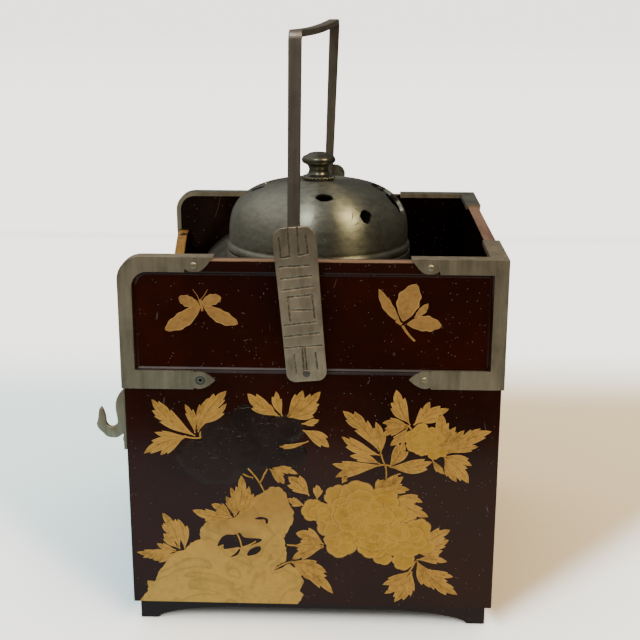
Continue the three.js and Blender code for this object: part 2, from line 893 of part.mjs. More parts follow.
function drawerPull(height) {
  const shoulder = rosetteThickness + stackGap;
  const inside = -drawerFrontThickness - stackGap;
  const profile = [
    [0, inside - 1],
    [2.2, inside - 0.8],
    [2.6, inside],
    [pullShank, inside],
    [pullShank, shoulder],
    [pullRadius * 0.8, shoulder],
    [pullNeck, shoulder + pullLength * 0.25],
    [pullNeck, shoulder + pullLength * 0.45],
    [pullRadius, shoulder + pullLength * 0.7],
    [pullRadius * 0.9, shoulder + pullLength * 0.88],
    [pullRadius * 0.5, shoulder + pullLength * 0.98],
    [0, shoulder + pullLength],
  ];
  return turned(profile, 16).rotateY(-Math.PI / 2).translate(-halfLength, 0, height);
}

// Brazier

function brazierBowl() {
  const rimLow = bowlTop - bowlRimHeight;
  const profile = [
    [0, bowlBottom + 1.2],
    [bowlFootRadius - 3, bowlBottom + 1.2],
    [bowlFootRadius - 2.6, bowlBottom],
    [bowlFootRadius, bowlBottom],
    [bowlFootRadius + 0.6, bowlBottom + 3],
    [bowlBellyRadius - 5, bowlBottom + 9],
    [bowlBellyRadius, bowlBottom + bowlBellyHeight],
    [bowlNeckRadius + 0.4, bowlBottom + bowlNeckHeight],
    [bowlNeckRadius + 1.4, rimLow - 1.4],
    [bowlRimRadius, rimLow],
    [bowlRimRadius, bowlTop - 0.8],
    [bowlRimRadius - 0.8, bowlTop],
    [bowlMouthRadius, bowlTop],
    [bowlMouthRadius, rimLow],
    [bowlBellyRadius - bowlWall, bowlBottom + bowlBellyHeight],
    [bowlBellyRadius - 5 - bowlWall, bowlBottom + 11],
    [bowlFootRadius - 2, bowlBottom + 5],
    [0, bowlBottom + 4],
  ];
  return turned(profile, 36).translate(brazierX, 0, 0);
}

// Height of the dome over its springing line, at a radius, for a skin that is set in by a wall.
function domePoint(share, wall) {
  const angle = (share * Math.PI) / 2;
  const radius = (domeRadius - wall) * Math.cos(angle) ** (2 / domeShape);
  const height = (domeRise - wall) * Math.sin(angle) ** (2 / domeShape);
  return [radius, domeStart + height];
}

function domeCurve(wall, steps) {
  const points = [];
  for (let i = 0; i <= steps; i += 1) points.push(domePoint(i / steps, wall));
  points[steps][0] = 0;
  return points;
}

// A hole in the dome, cut square to the sphere about its springing centre: degrees and millimetres.
function domeHole(azimuth, elevation, width, height, turn = 0) {
  const tool = new THREE.CylinderGeometry(0.5, 0.5, punchLength, 12).rotateX(Math.PI / 2);
  tool.scale(width, height, 1);
  tool.rotateZ(THREE.MathUtils.degToRad(turn)).translate(0, 0, punchLength);
  const placed = new THREE.Object3D();
  const az = THREE.MathUtils.degToRad(azimuth);
  const el = THREE.MathUtils.degToRad(elevation);
  placed.up.set(0, 0, 1);
  placed.lookAt(Math.cos(az) * Math.cos(el), Math.sin(az) * Math.cos(el), Math.sin(el));
  placed.updateMatrix();
  return tool.applyMatrix4(placed.matrix).translate(0, 0, domeStart);
}

// The piercing is a spaced ring of ovals, rounds and cloud-like slots.
const domeHoles = [
  { az: -83, el: 38, width: 9.5, height: 6 },
  { az: -55, el: 21, width: 7, height: 7.5 },
  { az: 0, el: 36, width: 13, height: 10, turn: 10 },
  { az: -12, el: 26, width: 12, height: 12, turn: -40 },
  { az: 38, el: 38, width: 9.5, height: 6 },
  { az: 66, el: 21, width: 7, height: 7.5 },
  { az: 112, el: 30, width: 15, height: 6, turn: 15 },
  { az: 148, el: 21, width: 7, height: 7.5 },
  { az: 178, el: 45, width: 6, height: 4 },
  { az: -168, el: 37, width: 10, height: 4, turn: 60 },
];

function brazierLid() {
  const inner = spigotRadius - spigotWall;
  const low = collarBottom - spigotDepth;
  const profile = [
    [inner, low],
    [spigotRadius, low],
    [spigotRadius, collarBottom],
    [lidCollarRadius - 0.6, collarBottom],
    [lidCollarRadius, collarBottom + 0.7],
    [lidCollarRadius, collarTop - 0.9],
    [domeRadius, collarTop],
    ...domeCurve(0, 10),
    ...domeCurve(domeWall, 8).reverse(),
    [inner, collarTop],
    [inner, low],
  ];
  const shell = turned(profile, 40);
  const holes = domeHoles.map((hole) => domeHole(hole.az, hole.el, hole.width, hole.height, hole.turn));
  const studHole = rod(knobStud + rivetClearance, "z", domeTop - 6, domeTop + 6, [0, 0], 16);
  return cut(shell, ...holes, studHole).translate(brazierX, 0, 0);
}

function lidKnob() {
  const base = knobBottom;
  const top = base + knobHeight;
  const under = domeTop - domeWall - stackGap;
  const ringTop = base + 2 * beadRadius;
  const discLow = base + knobHeight * 0.56;
  const profile = [
    [0, under - 1.2],
    [3, under - 1],
    [3.4, under],
    [knobStud, under],
    [knobStud, base],
    [knobRingRadius, base],
    [knobRingRadius, ringTop],
    [knobRingRadius - 1.4, ringTop + 0.3],
    [knobNeckRadius + 0.4, ringTop + 1.6],
    [knobNeckRadius, ringTop + 3.2],
    [knobNeckRadius + 0.6, discLow - 0.6],
    [knobDiscRadius - 1.2, discLow + 0.9],
    [knobDiscRadius, discLow + 2.3],
    [knobDiscRadius - 0.3, discLow + 3.7],
    [knobDiscRadius - 1.8, discLow + 5],
    [knobDiscRadius * 0.45, top - 0.2],
    [0, top],
  ];
  const lobes = [];
  for (let i = 0; i < beadCount * 4; i += 1) {
    const angle = (Math.PI * i) / (beadCount * 2);
    const radius = knobRingRadius + beadRadius * [0, 0.8, 1, 0.8][i % 4];
    lobes.push([radius * Math.cos(angle), radius * Math.sin(angle)]);
  }
  const beading = alongZ(outline(lobes), base, ringTop);
  return join(turned(profile, 22), beading).translate(brazierX, 0, 0);
}

// Ash pot

function ashPot() {
  const profile = [
    [0, ashBottom],
    [ashRadius - 2, ashBottom],
    [ashRadius, ashBottom + 2],
    [ashRadius, ashTop - 1],
    [ashRadius - 0.5, ashTop],
    [ashRadius - ashWall, ashTop],
    [ashRadius - ashWall, ashBottom + 3],
    [0, ashBottom + 2],
  ];
  return turned(profile, 28).translate(ashX, ashY, 0);
}

function capHeight(radius, skin) {
  const rim = Math.sqrt(ashDomeRadius ** 2 - ashLidRadius ** 2);
  return Math.sqrt((ashDomeRadius - skin) ** 2 - radius ** 2) - rim;
}

function ashLid() {
  const low = ashTop + seatGap;
  const rise = low + ashLidFlange;
  const spigot = ashRadius - ashWall - 0.6;
  const steps = 6;
  const outer = [];
  const inner = [];
  for (let i = 0; i <= steps; i += 1) {
    const share = Math.cos((Math.PI * i) / (2 * steps));
    outer.push([ashLidRadius * share, rise + capHeight(ashLidRadius * share, 0)]);
    const inside = (spigot - 1.2) * share;
    inner.unshift([inside, rise + capHeight(inside, ashLidWall)]);
  }
  outer[steps][0] = 0;
  inner[0][0] = 0;
  const profile = [
    ...inner,
    [spigot - 1.2, low - 2.4],
    [spigot, low - 2.4],
    [spigot, low],
    [ashLidRadius, low],
    ...outer,
  ];
  const shell = turned(profile, 26).translate(ashX, ashY, 0);
  const top = rise + capHeight(0, 0);
  return cut(shell, rod(1.3, "z", top - 6, top + 6, [ashX, ashY], 12));
}

function ashKnob() {
  const low = ashTop + seatGap + ashLidFlange + capHeight(0, 0) + seatGap;
  const under = low - ashLidWall - 2 * seatGap;
  const top = low + ashKnobHeight;
  const profile = [
    [0, under - 0.8],
    [2.2, under - 0.7],
    [2.4, under],
    [1.2, under],
    [1.2, low],
    [ashKnobRadius * 0.8, low],
    [ashKnobRadius * 0.45, low + 1.6],
    [ashKnobRadius * 0.5, low + 2.8],
    [ashKnobRadius, low + 4.6],
    [ashKnobRadius * 0.75, top - 0.6],
    [0, top],
  ];
  return turned(profile, 20).translate(ashX, ashY, 0);
}

// Assembly

const box = new THREE.Group();

function add(name, geometry, finish, parent = box) {
  const mesh = new THREE.Mesh(geometry, finish());
  mesh.name = name;
  parent.add(mesh);
  return mesh;
}

const sides = [
  { name: "near", sign: -1 },
  { name: "far", sign: 1 },
];

function addCase() {
  add("rear_board", rearBoard(), lacquer);
  add("front_scooped_board", scoopedBoard(), goldLacquer);
  add("tray_floor", trayFloor(), blackLacquer);
  add("drawer_shelf", levelBoard(shelfBottom, shelfThickness), blackLacquer);
  add("bottom_board", levelBoard(bodyBottom, bottomThickness), blackLacquer);
  add("base_rail_front", crossRail(-1), blackLacquer);
  add("base_rail_rear", crossRail(1), blackLacquer);
  for (const side of sides) {
    add(`side_board_${side.name}`, sideBoard(side.sign), lacquer);
    add(`base_rail_${side.name}`, longRail(side.sign), blackLacquer);
  }
}

// The near front mount has lost the rivet of its lower arm.
function addMounts() {
  for (const side of sides) {
    add(`corner_mount_front_${side.name}`, frontMount(side.sign), pewter);
    add(`corner_mount_rear_${side.name}`, rearMount(side.sign), pewter);
    for (const spot of rivetPlaces()) {
      if (side.name === "near" && spot.name === "front_low") continue;
      add(`mount_rivet_${spot.name}_${side.name}`, mountRivet(spot, side.sign), pewter);
    }
  }
}

function addHandle() {
  add("handle_bail", bail(), pewter);
  const leans = { near: nearStrapLean, far: farStrapLean };
  for (const side of sides) {
    const piece = add(`handle_strap_${side.name}`, strap(), pewter);
    piece.position.set(pivotX, side.sign * (strapInner + strapThickness / 2), pivotZ);
    piece.rotation.y = THREE.MathUtils.degToRad(leans[side.name]);
    add(`pivot_pin_${side.name}`, pivotPin(side.sign), pewter);
    add(`pivot_washer_${side.name}`, pivotWasher(side.sign), pewter);
  }
}

function addHooks() {
  for (const side of sides) {
    add(`pipe_hook_${side.name}`, pipeHook(side.sign), pewter);
    add(`hook_plate_${side.name}`, hookPlate(side.sign), pewter);
    add(`hook_nail_${side.name}`, hookNail(side.sign), pewter);
  }
}

function addDrawers() {
  const finishes = { front: lacquer, rosette: pewter, pull: pewter };
  for (const level of ["lower", "upper"]) {
    const drawer = new THREE.Group();
    for (const [piece, geometry] of Object.entries(drawerPieces(level))) {
      add(`${level}_drawer_${piece}`, geometry, finishes[piece] ?? drawerWood, drawer);
    }
    box.add(drawer);
  }
}

function addVessels() {
  add("brazier_bowl", brazierBowl(), domeMetal);
  add("brazier_lid", brazierLid(), domeMetal);
  add("brazier_lid_knob", lidKnob(), domeMetal);
  add("ash_pot", ashPot(), darkMetal);
  add("ash_pot_lid", ashLid(), darkMetal);
  add("ash_pot_lid_knob", ashKnob(), darkMetal);
}

addCase();
addMounts();
addHandle();
addHooks();
addDrawers();
addVessels();

// The hooks reach further out than the rear mounts, so the box moves over to centre the whole.
box.position.x = (hookPlateFace + hookReach - mountEnd) / 2;

const root = new THREE.Group();
root.add(box);

export default root;
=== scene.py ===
import math
import random

import bmesh
import bpy
from mathutils import Matrix, Vector


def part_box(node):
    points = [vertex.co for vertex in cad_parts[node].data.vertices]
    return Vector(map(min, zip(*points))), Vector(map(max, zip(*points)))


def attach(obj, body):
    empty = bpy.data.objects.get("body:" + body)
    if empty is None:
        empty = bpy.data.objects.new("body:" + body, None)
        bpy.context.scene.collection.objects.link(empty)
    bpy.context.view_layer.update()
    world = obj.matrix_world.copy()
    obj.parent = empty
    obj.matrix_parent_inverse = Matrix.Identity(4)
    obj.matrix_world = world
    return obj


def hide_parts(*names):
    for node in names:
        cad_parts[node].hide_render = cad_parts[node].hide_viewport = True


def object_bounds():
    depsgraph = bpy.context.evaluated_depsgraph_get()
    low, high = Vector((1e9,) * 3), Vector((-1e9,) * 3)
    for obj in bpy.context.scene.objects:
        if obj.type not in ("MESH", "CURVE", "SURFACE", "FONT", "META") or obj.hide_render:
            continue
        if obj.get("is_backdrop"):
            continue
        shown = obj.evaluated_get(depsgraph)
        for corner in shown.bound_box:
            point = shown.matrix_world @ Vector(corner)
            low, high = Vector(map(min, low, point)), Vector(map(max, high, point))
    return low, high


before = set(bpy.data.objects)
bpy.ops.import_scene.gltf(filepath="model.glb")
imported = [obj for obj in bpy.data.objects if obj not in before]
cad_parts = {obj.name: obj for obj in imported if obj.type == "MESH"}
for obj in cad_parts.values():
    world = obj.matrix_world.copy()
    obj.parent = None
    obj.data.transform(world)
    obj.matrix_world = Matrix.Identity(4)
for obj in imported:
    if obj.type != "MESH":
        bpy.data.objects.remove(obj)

mm = 0.001
scene = bpy.context.scene
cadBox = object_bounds()


def span(node):  # a node's lowest and highest corners, in millimetres
    low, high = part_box(node)
    return [v / mm for v in low], [v / mm for v in high]


def middle(node):
    low, high = span(node)
    return [(a + b) / 2 for a, b in zip(low, high)]


def addObject(name, data):
    made = bpy.data.objects.new(name, data)
    scene.collection.objects.link(made)
    return made


def evaluated(thing):  # a plain mesh of what a curve or a modifier makes
    ready = thing.evaluated_get(bpy.context.evaluated_depsgraph_get())
    return bpy.data.meshes.new_from_object(ready)


boardLow, boardHigh = span("side_board_near")
caseX = (boardLow[0] + boardHigh[0]) / 2
halfLength = (boardHigh[0] - boardLow[0]) / 2
halfWidth = -boardLow[1]
innerHalfWidth = -boardHigh[1]
bodyBottom = boardLow[2]
sideTop = boardHigh[2]
sides = {"near": -1, "far": 1}

# Camera

cameraLook = {  # place and lens in millimetres, the rest in degrees
    "place": (30.02, -624.48, 311.94),
    "down": 15.837,
    "turn": 2.086,
    "tilt": 0.138,
    "lens": 65.53,
}


def addCamera():
    data = bpy.data.cameras.new("camera")
    data.lens = cameraLook["lens"]
    data.clip_start = 0.01
    camera = addObject("camera", data)
    turn = Matrix.Rotation(math.radians(cameraLook["turn"]), 4, "Z")
    pitch = Matrix.Rotation(math.radians(90 - cameraLook["down"]), 4, "X")
    tilt = Matrix.Rotation(math.radians(cameraLook["tilt"]), 4, "Z")
    place = Matrix.Translation(Vector(cameraLook["place"]) * mm)
    camera.matrix_world = place @ turn @ pitch @ tilt
    scene.camera = camera


# Materials: a small kit for node trees


def addNode(tree, kind, inputs=None, **settings):
    made = tree.nodes.new(kind)
    for key, value in settings.items():
        setattr(made, key, value)
    for key, value in (inputs or {}).items():
        if isinstance(value, bpy.types.NodeSocket):
            tree.links.new(value, made.inputs[key])
        else:
            made.inputs[key].default_value = value
    return made


def add(tree, kind, inputs=None, **settings):
    return addNode(tree, "ShaderNode" + kind, inputs, **settings)


def sums(tree, operation, *values):
    return add(tree, "Math", dict(enumerate(values)), operation=operation).outputs[0]


def times(tree, a, b):
    return sums(tree, "MULTIPLY", a, b)


def plus(tree, a, b):
    return sums(tree, "ADD", a, b)


def less(tree, a, b):
    return sums(tree, "SUBTRACT", a, b)


def unsigned(tree, a):
    return sums(tree, "ABSOLUTE", a)


def scaled(tree, value, factor, start):
    return sums(tree, "MULTIPLY_ADD", value, factor, start)


def blendColour(tree, share, a, b):
    return add(tree, "Mix", {0: share, 6: a, 7: b}, data_type="RGBA").outputs[2]


def blendValue(tree, share, a, b):
    return add(tree, "Mix", {0: share, 2: a, 3: b}, data_type="FLOAT").outputs[0]


def dimmed(tree, colour, share):
    return add(tree, "VectorMath", {0: colour, "Scale": share}, operation="SCALE").outputs[0]


def shade(red, green, blue):
    return (red, green, blue, 1.0)


def noise(tree, where, scale, detail=3.0, roughness=0.5, distortion=0.0):
    inputs = {"Vector": where, "Scale": scale, "Detail": detail, "Roughness": roughness}
    return add(tree, "TexNoise", {**inputs, "Distortion": distortion}).outputs[0]


def steps(tree, value, low, high):  # 0 below low, 1 above high, eased between
    inputs = {"Value": value, "From Min": low, "From Max": high}
    return add(tree, "MapRange", inputs, interpolation_type="SMOOTHSTEP").outputs[0]


def stretched(tree, where, scale, turn=(0, 0, 0)):
    return add(tree, "Mapping", {"Vector": where, "Scale": scale, "Rotation": turn}).outputs[0]


def axes(tree, where):
    return add(tree, "SeparateXYZ", {0: where}).outputs


def mapped(tree, layer):
    return add(tree, "UVMap", uv_map=layer).outputs[0]


def emptyTree(owner):
    owner.use_nodes = True
    owner.node_tree.nodes.clear()
    return owner.node_tree


def newFinish(name):
    finish = bpy.data.materials.new(name)
    tree = emptyTree(finish)
    shader = add(tree, "BsdfPrincipled")
    add(tree, "OutputMaterial", {"Surface": shader.outputs[0]})
    return finish, tree, shader, add(tree, "TexCoord").outputs["Object"]


def connect(tree, shader, colour, roughness, height, depth, strength=1.0):
    tree.links.new(colour, shader.inputs["Base Color"])
    tree.links.new(roughness, shader.inputs["Roughness"])
    bump = add(tree, "Bump", {"Height": height, "Distance": depth, "Strength": strength})
    tree.links.new(bump.outputs[0], shader.inputs["Normal"])


def dustSpecks(tree, where, cell, amount):
    # one grain in a few of the cells of a fine honeycomb, gathered where the broad noise is high
    cells = add(tree, "TexVoronoi", {"Vector": where, "Scale": 1 / cell})
    chance = add(tree, "SeparateColor", {0: cells.outputs["Color"]}).outputs[0]
    limit = scaled(tree, noise(tree, where, 30, 2), -amount, 1.0)
    chosen = sums(tree, "GREATER_THAN", chance, limit)
    return times(tree, chosen, steps(tree, cells.outputs["Distance"], 0.3, 0.16))


lacquerLook = {
    "deep": shade(0.0170, 0.0028, 0.0006),
    "warm": shade(0.0350, 0.0050, 0.0008),
    "dust": shade(0.30, 0.27, 0.24),
    "dustCell": 0.0008,
    "dustAmount": 0.058,
    "dustShare": 0.75,
    "scratchShare": 0.22,
    "gloss": 0.13,
    "haze": 0.10,
    "sheen": shade(1.0, 0.88, 0.80),
    "relief": 0.00012,
    "wood": shade(0.36, 0.19, 0.10),
    "darkWood": shade(0.14, 0.055, 0.03),
    "rimWood": shade(0.62, 0.36, 0.17),
    "rimWoodShare": 0.45,
    "rimBare": 0.78,
}
lacquerKinds = {  # what each differs in; heights of wear in millimetres
    "plain_lacquer": {},
    "side_lacquer": {
        "worn": {"from": sideTop - 0.45, "waver": 0.6, "grain": (0.15, 1, 1), "rim": halfWidth - 1.9},
    },
    "rear_lacquer": {"worn": {"from": sideTop - 0.3, "waver": 0.7, "grain": (1, 0.15, 1)}},
    # painted light: a redder copy of the case lacquer with a redder reflection tint, for the sunk panel
    # only, while the same lacquer below keeps the greyer look of the floor's reflection
    "panel_painted_light_lacquer": {
        "deep": shade(0.0175, 0.0020, 0.0003),
        "warm": shade(0.0430, 0.0050, 0.0006),
        "sheen": shade(1.0, 0.70, 0.55),
        "dustAmount": 0.09,
    },
    # the lip's upward ledge: paler and greyer, partly dust and partly a painted highlight where the bead
    # catches light
    "dust_and_highlight_lacquer": {
        "deep": shade(0.020, 0.011, 0.012),
        "warm": shade(0.085, 0.062, 0.066),
        "gloss": 0.4,
        "dustAmount": 0.2,
    },
    "black_lacquer": {
        "deep": shade(0.0125, 0.0044, 0.0030),
        "warm": shade(0.0230, 0.0080, 0.0052),
        "dustAmount": 0.05,
    },
    # inside faces: near-black, a dark inner lacquer deepened by painted shade inside the case
    "inside_lacquer_and_shade": {
        "deep": shade(0.0050, 0.0010, 0.0005),
        "warm": shade(0.0150, 0.0026, 0.0008),
        "dustAmount": 0.04,
    },
}


def makeLacquer(name):
    look = {**lacquerLook, **lacquerKinds[name]}
    finish, tree, shader, where = newFinish(name)
    broad = noise(tree, where, 16, 4, 0.6)
    colour = blendColour(tree, steps(tree, broad, 0.30, 0.75), look["deep"], look["warm"])
    specks = dustSpecks(tree, where, look["dustCell"], look["dustAmount"])
    colour = blendColour(tree, times(tree, specks, look["dustShare"]), colour, look["dust"])
    swirl = noise(tree, stretched(tree, where, (1.0, 1.0, 0.3), (0.5, 0.9, 0.3)), 34, 0)
    hair = steps(tree, unsigned(tree, less(tree, swirl, 0.5)), 0.0030, 0.0010)
    scratch = times(tree, hair, steps(tree, noise(tree, where, 120, 1), 0.62, 0.67))
    colour = blendColour(tree, times(tree, scratch, look["scratchShare"]), colour, look["dust"])
    rough = scaled(tree, noise(tree, where, 420, 3), look["haze"], look["gloss"])
    rough = sums(tree, "MAXIMUM", rough, times(tree, specks, 0.6))
    height = plus(tree, times(tree, broad, 0.6), times(tree, specks, 0.5))
    if "worn" in look:
        height, colour, rough = wornEdge(tree, where, look, height, colour, rough)
    connect(tree, shader, colour, rough, height, look["relief"])
    shader.inputs["IOR"].default_value = 1.52
    shader.inputs["Specular Tint"].default_value = look["sheen"]
    return finish


def wornEdge(tree, where, look, height, colour, rough):
    # lacquer rubbed off down to the wood, above a wavering line near the top
    worn = look["worn"]
    waver = times(tree, noise(tree, where, 90, 4, 0.7), worn["waver"] * mm)
    line = plus(tree, axes(tree, where)[2], waver)
    bare = steps(tree, line, (worn["from"] - 0.25) * mm, worn["from"] * mm)
    grain = noise(tree, stretched(tree, where, worn["grain"]), 60, 5, 0.7)
    wood = blendColour(tree, steps(tree, grain, 0.35, 0.7), look["darkWood"], look["wood"])
    if "rim" in worn:  # only the outer rim is bare, the rest of the top still has a thin coat
        aside = plus(tree, unsigned(tree, axes(tree, where)[1]), waver)
        rim = steps(tree, aside, (worn["rim"] - 0.5) * mm, worn["rim"] * mm)
        bare = times(tree, bare, scaled(tree, rim, look["rimBare"], 1 - look["rimBare"]))
        wood = blendColour(tree, look["rimWoodShare"], wood, look["rimWood"])
    colour = blendColour(tree, bare, colour, wood)
    rough = blendValue(tree, bare, rough, 0.55)
    height = plus(tree, height, times(tree, grain, bare))
    return height, colour, rough


wornLook = {
    "deep": shade(0.0160, 0.0072, 0.0058),
    "warm": shade(0.0290, 0.0125, 0.0100),
    "red": shade(0.050, 0.010, 0.007),
    "redCell": 0.0013,
    "redAmount": 0.22,
    "redShare": 0.8,
    "dustAmount": 0.13,
    "dustShare": 0.5,
    "gloss": 0.14,
    "haze": 0.25,
    "sheen": shade(1.0, 0.84, 0.72),
}


def makeWorn():  # where a gold flower has rubbed away: greyer, duller, with specks of old red and dust
    look = wornLook
    finish, tree, shader, where = newFinish("worn_lacquer")
    cloud = noise(tree, where, 60, 4, 0.6)
    colour = blendColour(tree, steps(tree, cloud, 0.35, 0.65), look["deep"], look["warm"])
    red = dustSpecks(tree, where, look["redCell"], look["redAmount"])
    colour = blendColour(tree, times(tree, red, look["redShare"]), colour, look["red"])
    turned = stretched(tree, where, (1, 1, 1), (0.4, 0.7, 0.2))
    pale = dustSpecks(tree, turned, lacquerLook["dustCell"], look["dustAmount"])
    colour = blendColour(tree, times(tree, pale, look["dustShare"]), colour, lacquerLook["dust"])
    rough = scaled(tree, cloud, look["haze"], look["gloss"])
    connect(tree, shader, colour, rough, cloud, 0.0002, 0.6)
    shader.inputs["Specular Tint"].default_value = look["sheen"]
    return finish


metalLook = {  # [dark tone, light tone, roughness, stretch of the grain]
    "pewter": (shade(0.34, 0.277, 0.178), shade(0.72, 0.596, 0.394), 0.42, (1, 1, 0.12)),
    "dome_pewter": (shade(0.185, 0.180, 0.137), shade(0.41, 0.396, 0.300), 0.37, (0.7, 0.7, 1.6)),
    "knob_pewter": (shade(0.10, 0.096, 0.068), shade(0.20, 0.188, 0.135), 0.30, (0.3, 0.3, 4)),
    "bar_pewter": (shade(0.20, 0.166, 0.130), shade(0.34, 0.288, 0.232), 0.44, (1, 1, 0.1)),
    "strap_pewter": (shade(0.42, 0.335, 0.222), shade(0.87, 0.705, 0.475), 0.46, (1, 1, 0.3)),
    "dark_pewter": (shade(0.030, 0.029, 0.019), shade(0.110, 0.105, 0.072), 0.36, (1, 1, 1)),
    "patina": (shade(0.09, 0.092, 0.070), shade(0.32, 0.310, 0.240), 0.5, (1, 1, 1)),
    "stain": (shade(0.10, 0.110, 0.088), shade(0.24, 0.250, 0.200), 0.55, (1, 1, 1)),
}
spunLook = {"names": ("dome_pewter",), "strength": 0.85, "turn": 0.25}
cutLook = {
    "names": ("strap_pewter",),
    "polish": shade(0.060, 0.050, 0.034),
    "headShade": shade(0.16, 0.135, 0.105),
    "headShare": 0.48,
    "headFrom": sideTop - 20,
    "headTo": sideTop + 12,
}


def makeMetal(name):
    low, high, roughness, grain = metalLook[name]
    finish, tree, shader, where = newFinish(name)
    shader.inputs["Metallic"].default_value = 0.9
    grained = stretched(tree, where, grain)
    cloud = noise(tree, where, 45, 6, 0.65, 0.4)
    mottle = noise(tree, grained, 260, 4, 0.7)
    mixed = blendValue(tree, 0.5, cloud, mottle)
    colour = blendColour(tree, steps(tree, mixed, 0.25, 0.72), low, high)
    pits = dustSpecks(tree, where, 0.0009, 0.16)
    colour = blendColour(tree, times(tree, pits, 0.5), colour, low)
    rough = scaled(tree, mottle, 0.16, roughness - 0.08)
    height = plus(tree, cloud, times(tree, noise(tree, grained, 900, 2), 0.12))
    height = less(tree, height, times(tree, pits, 0.25))
    if name in spunLook["names"]:  # turned on a lathe, so its glints stretch across the turning lines
        shader.inputs["Anisotropic"].default_value = spunLook["strength"]
        shader.inputs["Anisotropic Rotation"].default_value = spunLook["turn"]
        around = add(tree, "Tangent", direction_type="RADIAL", axis="Z")
        tree.links.new(around.outputs[0], shader.inputs["Tangent"])
    if name in cutLook["names"]:
        colour, rough = darkCuts(tree, where, colour, rough)
    connect(tree, shader, colour, rough, height, 0.00030, 0.6)
    return finish


def darkCuts(tree, where, colour, rough):
    # old dark polish in the cut lines, told by the cut's depth as u, and a duller head
    look = cutLook
    head = steps(tree, axes(tree, where)[2], look["headFrom"] * mm, look["headTo"] * mm)
    colour = blendColour(tree, times(tree, head, look["headShare"]), colour, look["headShade"])
    depth = axes(tree, mapped(tree, "cut"))[0]
    patchy = steps(tree, noise(tree, where, 700, 3), 0.30, 0.62)
    dirty = times(tree, depth, scaled(tree, patchy, 0.5, 0.5))
    return blendColour(tree, dirty, colour, look["polish"]), blendValue(tree, dirty, rough, 0.8)


goldLook = {
    "low": shade(0.36, 0.170, 0.024),
    "high": shade(0.86, 0.445, 0.078),
    "line": shade(0.17, 0.080, 0.020),
    "pale": shade(1.0, 0.62, 0.17),
    "copper": shade(0.38, 0.185, 0.075),
    "petal": shade(0.80, 0.43, 0.022),
    "petalWash": shade(0.66, 0.335, 0.075),
    "rock": shade(0.92, 0.57, 0.12),
    "rockWash": shade(0.50, 0.235, 0.058),
    "metallic": 0.36,
    "rough": 0.42,
}


def goldGround(name):
    finish, tree, shader, where = newFinish(name)
    shader.inputs["Metallic"].default_value = goldLook["metallic"]
    cloud = noise(tree, where, 55, 5, 0.6)
    grain = noise(tree, where, 1500, 2)
    rubbed = noise(tree, where, 420, 4, 0.7)
    mixed = steps(tree, blendValue(tree, 0.55, cloud, rubbed), 0.28, 0.60)
    colour = blendColour(tree, mixed, goldLook["low"], goldLook["high"])
    rough = scaled(tree, grain, 0.2, goldLook["rough"] - 0.1)
    return finish, tree, shader, where, colour, rough, grain


def connectGold(tree, shader, colour, rough, grain, marks):  # the marks are pressed in
    height = less(tree, times(tree, grain, 0.3), marks)
    connect(tree, shader, colour, rough, height, 0.00008, 0.6)


def makeLeafGold(name, veinShare, dull):  # UV: u from stalk to tip, v across from -1 to 1
    finish, tree, shader, where, colour, rough, grain = goldGround(name)
    colour = blendColour(tree, dull, colour, goldLook["copper"])
    place = axes(tree, mapped(tree, "leaf"))
    across = unsigned(tree, place[1])
    run = less(tree, times(tree, place[0], 6.0), times(tree, across, 2.2))
    saw = unsigned(tree, less(tree, sums(tree, "FRACT", run), 0.5))
    lines = sums(tree, "MAXIMUM", steps(tree, saw, 0.10, 0.02), steps(tree, across, 0.12, 0.03))
    veins = times(tree, lines, veinShare)
    colour = blendColour(tree, veins, colour, goldLook["line"])
    rim = times(tree, steps(tree, across, 0.84, 0.96), 0.5)
    colour = blendColour(tree, rim, colour, goldLook["pale"])
    connectGold(tree, shader, colour, rough, grain, veins)
    return finish


def makePetalGold():  # UV: u is the turn round the petal, v is 0 at its heart and 1 at its rim
    finish, tree, shader, where, colour, rough, grain = goldGround("petal_gold")
    place = mapped(tree, "petal")
    outwards = axes(tree, place)[1]
    colour = blendColour(tree, 0.55, colour, goldLook["petal"])
    wash = steps(tree, noise(tree, where, 34, 2), 0.46, 0.64)
    for share, factor, tone in (
        (wash, 0.34, "petalWash"),
        # painted shade: darker towards each petal's heart, so the petals look raised
        (steps(tree, outwards, 0.85, 0.35), 0.12, "line"),
        # painted highlight: a paler band just inside each petal's rim
        (steps(tree, outwards, 0.76, 0.91), 0.22, "pale"),
    ):
        colour = blendColour(tree, times(tree, share, factor), colour, goldLook[tone])
    rays = noise(tree, stretched(tree, place, (26, 1.2, 1)), 3, 2)
    streak = times(tree, steps(tree, rays, 0.54, 0.68), 0.26)
    rim = times(tree, steps(tree, outwards, 0.925, 0.98), 0.60)
    marks = sums(tree, "MAXIMUM", streak, rim)
    colour = blendColour(tree, marks, colour, goldLook["line"])
    connectGold(tree, shader, colour, rough, grain, marks)
    return finish


def makeRockGold():
    finish, tree, shader, where, colour, rough, grain = goldGround("rock_gold")
    tall = times(tree, axes(tree, where)[2], 9.0)
    wash = less(tree, plus(tree, tall, noise(tree, where, 45, 3, 0.5, 0.8)), 0.28)
    swell = sums(tree, "FRACT", times(tree, noise(tree, where, 28, 2, 0.5, 1.2), 6.0))
    line = times(tree, steps(tree, swell, 0.42, 0.0), 0.24)  # soft shade that ends at an edge
    colour = blendColour(tree, 0.5, colour, goldLook["rock"])
    wash = times(tree, steps(tree, wash, 0.42, 0.85), 0.46)
    colour = blendColour(tree, wash, colour, goldLook["rockWash"])
    colour = blendColour(tree, line, colour, goldLook["line"])
    connectGold(tree, shader, colour, rough, grain, line)
    return finish


def makePlainGold():
    finish, tree, shader, where, colour, rough, grain = goldGround("edge_gold")
    colour = blendColour(tree, 0.45, colour, goldLook["line"])
    bare = steps(tree, noise(tree, where, 70, 5, 0.7), 0.54, 0.62)
    colour = blendColour(tree, bare, colour, lacquerLook["deep"])
    connect(tree, shader, colour, rough, grain, 0.00008, 0.6)
    return finish


woodLook = {"low": shade(0.15, 0.075, 0.035), "high": shade(0.33, 0.19, 0.10), "rough": 0.5}


